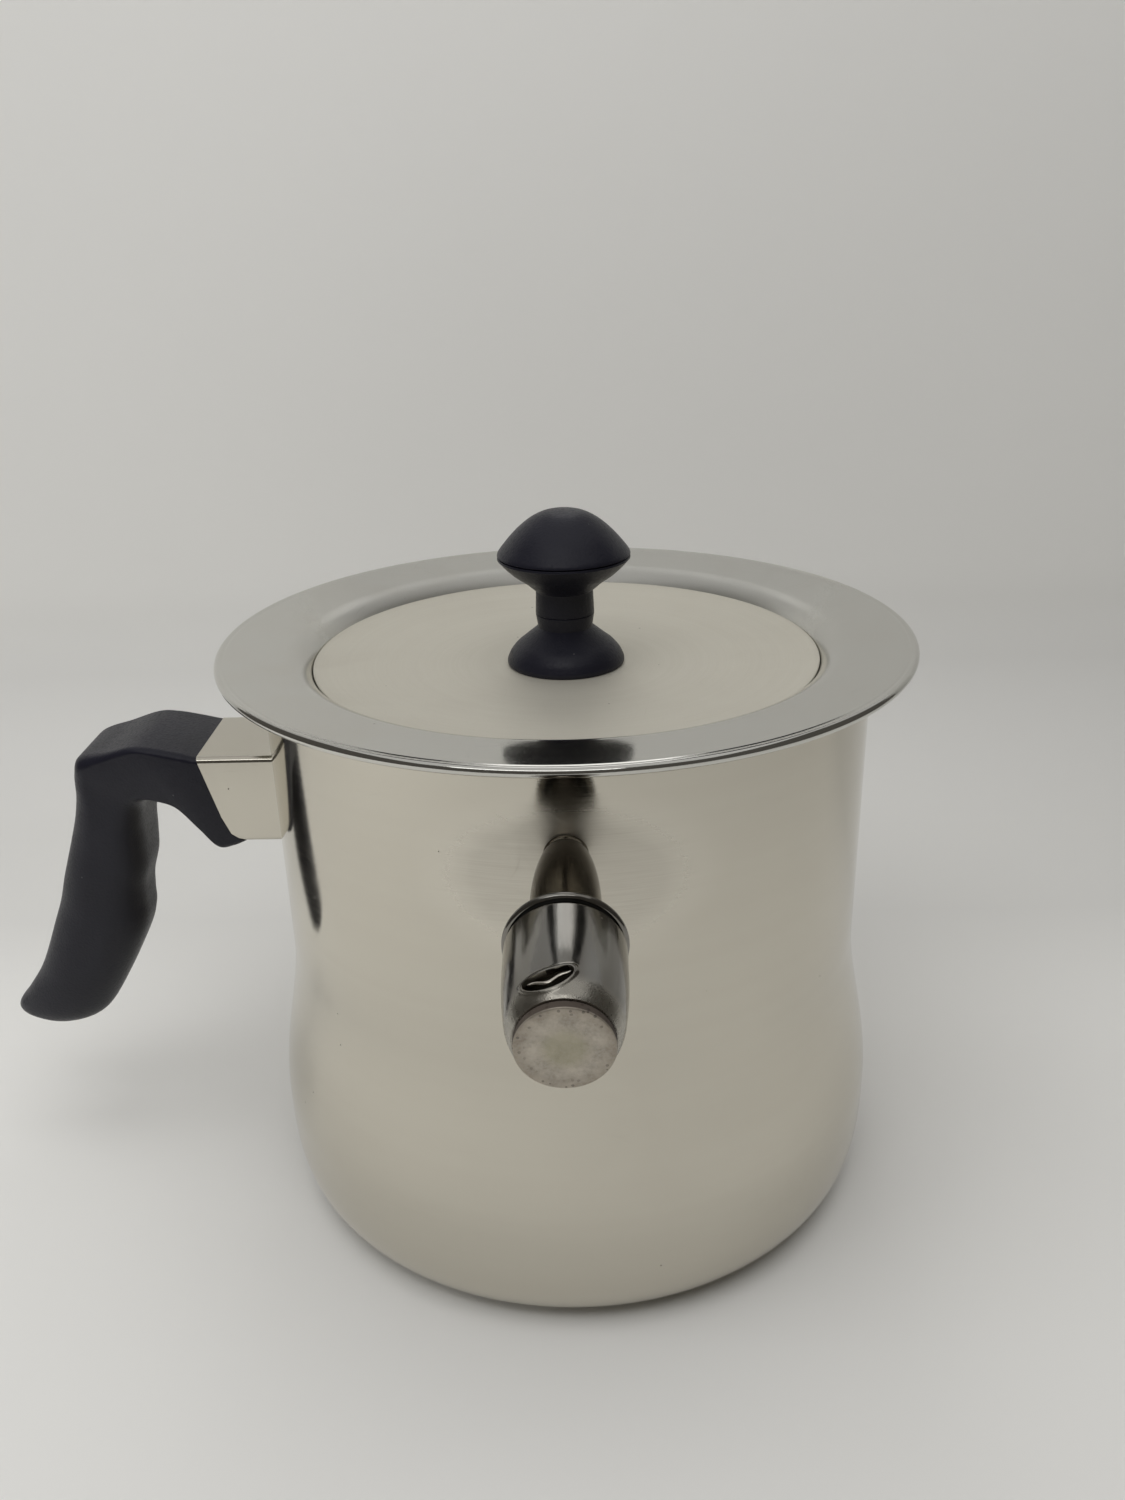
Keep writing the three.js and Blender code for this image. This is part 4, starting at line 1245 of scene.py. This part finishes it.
def knobHead(values):
    # radius = neck + width * out share, height = neck height + rise * up share, then the seam's notch
    neck, neckHeight, joint = values["neckRadius"], values["neckHeight"], values["jointHeight"]
    head, seam = values["headRadius"], values["seamHeight"]
    width, rise = head - neck, seam - neckHeight
    bulge = [(neck + width * out, neckHeight + rise * up) for out, up in values["headShares"]]
    bulge.append((head, seam - values["seamFall"]))
    shank = rounded([
        (0, values["screwTip"], 0),
        (values["bore"], values["screwTip"], 0),
        (values["bore"], joint, 0),
        (values["jointRadius"], joint, values["jointRound"]),
        (neck, neckHeight - values["neckDrop"], 0),
    ])
    notch = rounded([
        (head - values["seamStart"], seam - values["seamFall"] + values["seamStart"], 0),
        (head - values["seamTuck"], seam - values["seamEdge"], values["seamRound"]),
        (head - values["seamDepth"], seam - values["gap"], 0),
        (0, seam - values["gap"], 0),
    ])
    return np.vstack([shank, smoothed(bulge, 8), notch])


def knobDome(values):
    # radius = head * out share, height = seam height + rise * up share
    head, seam = values["headRadius"], values["seamHeight"]
    rise = values["topHeight"] - seam
    dome = [(head * out, seam + rise * up) for out, up in values["domeShares"]]
    dome.append((0, values["topHeight"]))
    notch = rounded([
        (0, seam, 0),
        (head - values["seamDepth"], seam, values["seamTuck"]),
        (head - values["gap"], seam + values["domeEdge"], values["domeRound"]),
    ])
    return np.vstack([notch, smoothed(dome, 10)])


for name, outline, closed, node in (
    ("knob_foot", knobFoot(knob), True, "knob_base"),
    ("knob_head", knobHead(knob), False, "knob_body"),
    ("knob_dome", knobDome(knob), False, "knob_cap"),
):
    shape = turned(raised(outline), knob["segments"], closed)
    part = addPiece(name, shape, materials["plastic"], knob["sharpAngle"])
    settle(part, "lid_unit", "black_plastic", node)
print("lid and knob made")

# Handle

handle = {
    "halfWidth": 17.0,
    "top": 143.4,
    "bottom": 116.0,
    "tuck": 84.0,
    "topReach": 108.6,
    "ferruleLength": 21.0,
    "ferruleSpare": 0.8,
    "faceShares": ((0.25, 0.7), (0.36, 0.9), (0.55, 1)),
    "faceRuns": (0.5, 3),
    "faceGap": 0.1,
    "sheet": 0.8,
    "round": 0.12,
    "wallGap": 87.66,
    "length": 75.8,
    "gripTop": 146.2,
    "drop": 101.6,
    "cornerSteps": 10,
    "steps": 10,
    "screwReach": 106.0,
    "screwOutline": ((0, 100), (3.7, 100), (3.7, 121), (2.3, 121), (2.3, 132.9), (0, 132.9)),
    "cutReaches": (60, 130),
    "cutHalfWidth": 30,
    "cutSpare": 4,
    "hollowSpares": (2, 3),
    "ferruleSharpAngle": 30,
    "gripSharpAngle": 32,
}


def sectionRings(middle, upward, halfHeight, halfWidth, roundShare, steps):
    # each ring is a rounded rectangle: up = h (side (1 - s) + s cos a), across = w (side (1 - s) + s sin a)
    angle = np.radians(np.array([0, 90, 180, 270])[:, None] + 90 * np.arange(steps + 1) / steps)
    upSide = np.array([1, -1, -1, 1])[:, None] + 0 * angle
    acrossSide = np.array([1, 1, -1, -1])[:, None] + 0 * angle
    angle, upSide, acrossSide = (part.ravel()[None] for part in (angle, upSide, acrossSide))
    share = roundShare[:, None]
    up = halfHeight[:, None] * (upSide * (1 - share) + share * np.cos(angle))
    across = halfWidth[:, None] * (acrossSide * (1 - share) + share * np.sin(angle))
    return np.stack([middle[:, :1] + upward[:, :1] * up, across, middle[:, 1:] + upward[:, 1:] * up], -1)


def ferruleBlock(values, inset, start, end):
    # one straight rounded bar of the ferrule's section less the inset, from start to end
    height = (values["top"] + values["bottom"]) / 2
    middle = np.array([[-start, height], [-end, height]], float)
    upward = np.array([[0.0, 1.0], [0.0, 1.0]])
    half = np.full(2, (values["top"] - values["bottom"]) / 2 - inset)
    wide = np.full(2, values["halfWidth"] - inset)
    share = np.full(2, values["round"])
    return capped(sectionRings(middle, upward, half, wide, share, values["cornerSteps"]))


def prism(outline, halfWidth):
    # an outline of (reach, height), clockwise seen from the front, carried along Y
    outline = np.asarray(outline, float)
    rings = [np.stack([-outline[:, 0], np.full(len(outline), side), outline[:, 1]], -1)
             for side in (-halfWidth, halfWidth)]
    count = len(outline)
    sides = np.stack([np.arange(count), np.roll(np.arange(count), -1)], -1)
    quads = np.hstack([sides, sides[:, ::-1] + count]).tolist()
    return np.vstack(rings), [list(range(count))[::-1], list(range(count, 2 * count))] + quads


def facePoints(values, gap, far):
    # the ferrule's end: reach = top reach - length * back share, height = top - depth * down share,
    # its first and last run lengthened, moved back by the gap, and closed at the far reach
    depth = values["top"] - values["bottom"]
    points = [np.array([values["topReach"] - values["ferruleLength"] * back, values["top"] - depth * down])
              for back, down in ((0, 0),) + values["faceShares"]]
    high = points[0] + (points[0] - points[1]) * values["faceRuns"][0]
    low = points[-1] + (points[-1] - points[-2]) * values["faceRuns"][1]
    face = [tuple(point - [gap, 0]) for point in (high, *points[1:], low)]
    return face + [(far, face[-1][1]), (far, face[0][1])]


near, far = handle["cutReaches"]
ferruleShape = ferruleBlock(handle, 0, handle["tuck"], handle["topReach"] + handle["ferruleSpare"])
ferrule = addPiece("ferrule_sleeve", ferruleShape, materials["ferrule"])
endCutter = prism(facePoints(handle, handle["faceGap"], far), handle["cutHalfWidth"])
hollow = ferruleBlock(handle, handle["sheet"], handle["tuck"] - handle["hollowSpares"][0],
                      handle["topReach"] + handle["hollowSpares"][1])
wallDrum = drum(handle["wallGap"], handle["bottom"] - handle["cutSpare"],
                handle["top"] + handle["cutSpare"], 384)
cutOut(ferrule, [endCutter, hollow, wallDrum], handle["ferruleSharpAngle"])
settle(ferrule, "pot", "steel", "handle_ferrule")

gripShares = [    # outer across, outer down, inner across, inner down, width, rounding
    (-0.05, 0.03, -0.15, 0.3, 1, 0.12),
    (0, 0.03, -0.1, 0.315, 1, 0.12),
    (0.08, 0.015, -0.04, 0.32, 1, 0.14),
    (0.18, 0, 0.02, 0.265, 0.99, 0.14),
    (0.26, -0.002, 0.1, 0.195, 0.97, 0.15),
    (0.37, 0.02, 0.185, 0.175, 0.93, 0.22),
    (0.483, 0.042, 0.24, 0.18, 0.9, 0.38),
    (0.522, 0.095, 0.275, 0.215, 0.87, 0.55),
    (0.54, 0.17, 0.295, 0.29, 0.855, 0.68),
    (0.565, 0.245, 0.301, 0.36, 0.845, 0.71),
    (0.6, 0.32, 0.308, 0.425, 0.83, 0.74),
    (0.635, 0.39, 0.338, 0.5, 0.82, 0.77),
    (0.67, 0.46, 0.346, 0.56, 0.81, 0.8),
    (0.705, 0.54, 0.352, 0.62, 0.805, 0.82),
    (0.75, 0.62, 0.39, 0.695, 0.8, 0.84),
    (0.845, 0.78, 0.5, 0.845, 0.765, 0.88),
    (0.935, 0.88, 0.6, 0.955, 0.69, 0.91),
    (0.985, 0.925, 0.7, 0.995, 0.57, 0.93),
    (1, 0.945, 0.8, 1, 0.41, 0.94),
]


def gripRings(values):
    # smooth curves through the outer edge, the inner edge and the girth give one ring each
    rows = smoothed(gripShares, values["steps"])
    start = [-values["topReach"], values["gripTop"]]
    size = [-values["length"], -values["drop"]]
    outer, inner = start + rows[:, :2] * size, start + rows[:, 2:4] * size
    half, middle = (outer - inner) / 2, (outer + inner) / 2
    height = np.linalg.norm(half, axis=1)
    return sectionRings(middle, half / height[:, None], height, values["halfWidth"] * rows[:, 4], rows[:, 5],
                        values["cornerSteps"])


grip = addPiece("grip", capped(gripRings(handle)), materials["plastic"])
gripCutter = prism(facePoints(handle, 0, near)[::-1], handle["cutHalfWidth"])
screwShape = turned(np.array(handle["screwOutline"], float), 48)
screwHole = mapped(screwShape, lambda points: points - [handle["screwReach"], 0, 0])
cutOut(grip, [gripCutter, screwHole], handle["gripSharpAngle"])
settle(grip, "pot", "black_plastic", "handle_grip")

for node, finish in (
    ("base_core", "aluminium"),
    ("handle_bracket", "satin"),
    ("handle_washer", "satin"),
    ("handle_screw", "satin"),
    ("knob_washer", "satin"),
    ("knob_screw", "satin"),
    ("whistle_disc_inner", "satin"),
    ("whistle_disc_outer", "satin"),
):
    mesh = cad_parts[node].data
    mesh.materials.clear()
    mesh.materials.append(materials[finish])
print("handle made")

# Studio

studio = {    # metres
    "floor": (0.86, 0.855, 0.83, 1),
    "side": (0.45, 0.45, 0.43, 1),
    "cloudNoise": (3.0, 3.0),
    "cloudTint": 0.05,
    "roughness": 0.85,
    "sheen": 0.1,
    "wallDistance": 0.31,
    "bend": 0.09,
    "front": -0.95,
    "halfWidth": 0.75,
    "height": 0.45,
    "sideHeight": 0.5,
    "room": (0.085, 0.08, 0.072, 1),
    "stripe": (0.03, 0.03, 0.03, 1),
    "stripes": ((-0.19, -0.12), (0.13, 0.24)),
    "stripeHeights": (0.44, 1.0),
    # shade: painted shade that darkens the bend between floor and wall
    "shade": {"middle": (0.0, 0.24, 0.01), "half": (3.0, 0.2, 0.11), "depth": 0.13},
}


def paper(name, colour, shade=None):
    # matt paper, a little darker in wide soft clouds, and darkened with painted shade in the bend where a
    # shade is given. It lets everything through from behind, so that the pot can be looked at from all
    # sides.
    material, tree = newMaterial(name)
    clouds = noise(tree, objectPlace(tree), *studio["cloudNoise"])
    layers = [(clouds, studio["cloudTint"], tones["black"])]
    if shade:
        # painted shade in the bend
        bend = patchAt(tree, shade["middle"], shade["half"])
        layers.append((bend, shade["depth"], tones["black"]))
    behind = put(tree, "ShaderNodeNewGeometry").outputs["Backfacing"]
    finishMaterial(tree, {
        "Base Color": tinted(tree, colour, *layers),
        "Roughness": studio["roughness"],
        "Specular IOR Level": studio["sheen"],
        "Alpha": calculate(tree, "SUBTRACT", 1.0, behind),
    })
    return material


def sweep(values):
    # floor from the front, a quarter bend up to the wall, then the wall, carried along X
    y = values["wallDistance"]
    bend = arc((y - values["bend"], values["bend"]), values["bend"], -90, 0, 24)
    run = refined(np.vstack([[[values["front"], 0]], bend, [[y, values["height"]]]]), 0.1)
    x = np.linspace(-values["halfWidth"], values["halfWidth"], 13)
    points = np.stack([x + 0 * run[:, :1], run[:, :1] + 0 * x, run[:, 1:] + 0 * x], -1)
    return gridMesh(points / mm, wrapColumns=False)


def panel(corners):
    # one face through four corners, in metres
    return np.asarray(corners, float) / mm, [[0, 1, 2, 3]]


side, front, back = studio["halfWidth"], studio["front"], studio["wallDistance"]
top = studio["sideHeight"]
leftSide = [(-side, front, 0), (-side, front, top), (-side, back, top), (-side, back, 0)]
rightSide = [(side, front, 0), (side, back, 0), (side, back, top), (side, front, top)]
backdrop = [
    addPiece("backdrop", sweep(studio), paper("palePaper", studio["floor"], studio["shade"])),
    addPiece("left_wall", panel(leftSide), paper("leftPaper", studio["side"])),
    addPiece("right_wall", panel(rightSide), paper("rightPaper", studio["side"])),
]
low, high = studio["stripeHeights"]
for start, end in studio["stripes"]:
    corners = [(start, back, low), (end, back, low), (end, back, high), (start, back, high)]
    backdrop.append(addPiece("dark_upright", panel(corners), paper("darkCloth", studio["stripe"])))

lamps = {    # place, aim and size in metres; a lamp that is not mirrored isn't seen in the steel
    "fill": {"place": (-0.03, -0.27, 1.1), "aim": (-0.03, 0.08, 0), "size": (1.3, 1.0), "glow": 1.38,
             "mirrored": False},
    "left_fill": {"place": (-0.72, -0.3, 0.45), "aim": (0, 0, 0.05), "size": (0.6, 0.5), "glow": 1.6,
                  "mirrored": False},
    "ceiling": {"place": (0, -0.1, 1.05), "aim": (0, -0.1, 0), "size": (1.4, 0.9), "glow": 0.5},
    "upper_wall": {"place": (0, 0.36, 0.75), "aim": (0, -0.1, 0.75), "size": (1.4, 0.62), "glow": 0.4},
    "back_strip": {"place": (0.01, 0.32, 0.56), "aim": (0.01, -0.1, 0.4), "size": (0.19, 0.2),
                   "glow": 0.95},
    "key": {"place": (-0.1, -0.5, 0.8), "aim": (0, 0, 0.1), "size": (0.6, 0.14), "glow": 2.2},
}


def addLamp(name, place, aim, size, glow, mirrored=True):
    # a flat lamp whose face has the radiance glow: power = glow * pi * area
    data = bpy.data.lights.new(name, "AREA")
    data.shape = "RECTANGLE"
    data.size, data.size_y = size
    data.energy = glow * math.pi * size[0] * size[1]
    light = bpy.data.objects.new(name, data)
    light.location = place
    light.rotation_euler = (Vector(aim) - Vector(place)).to_track_quat("-Z", "Y").to_euler()
    light.visible_glossy = mirrored
    bpy.context.scene.collection.objects.link(light)


for name, values in lamps.items():
    addLamp(name, **values)
world = bpy.data.worlds.new("room")
world.use_nodes = True
world.node_tree.nodes["Background"].inputs[0].default_value = studio["room"]
world.node_tree.nodes["Background"].inputs[1].default_value = 1.0
bpy.context.scene.world = world
bpy.context.scene.view_settings.view_transform = "Standard"
print("studio lit")
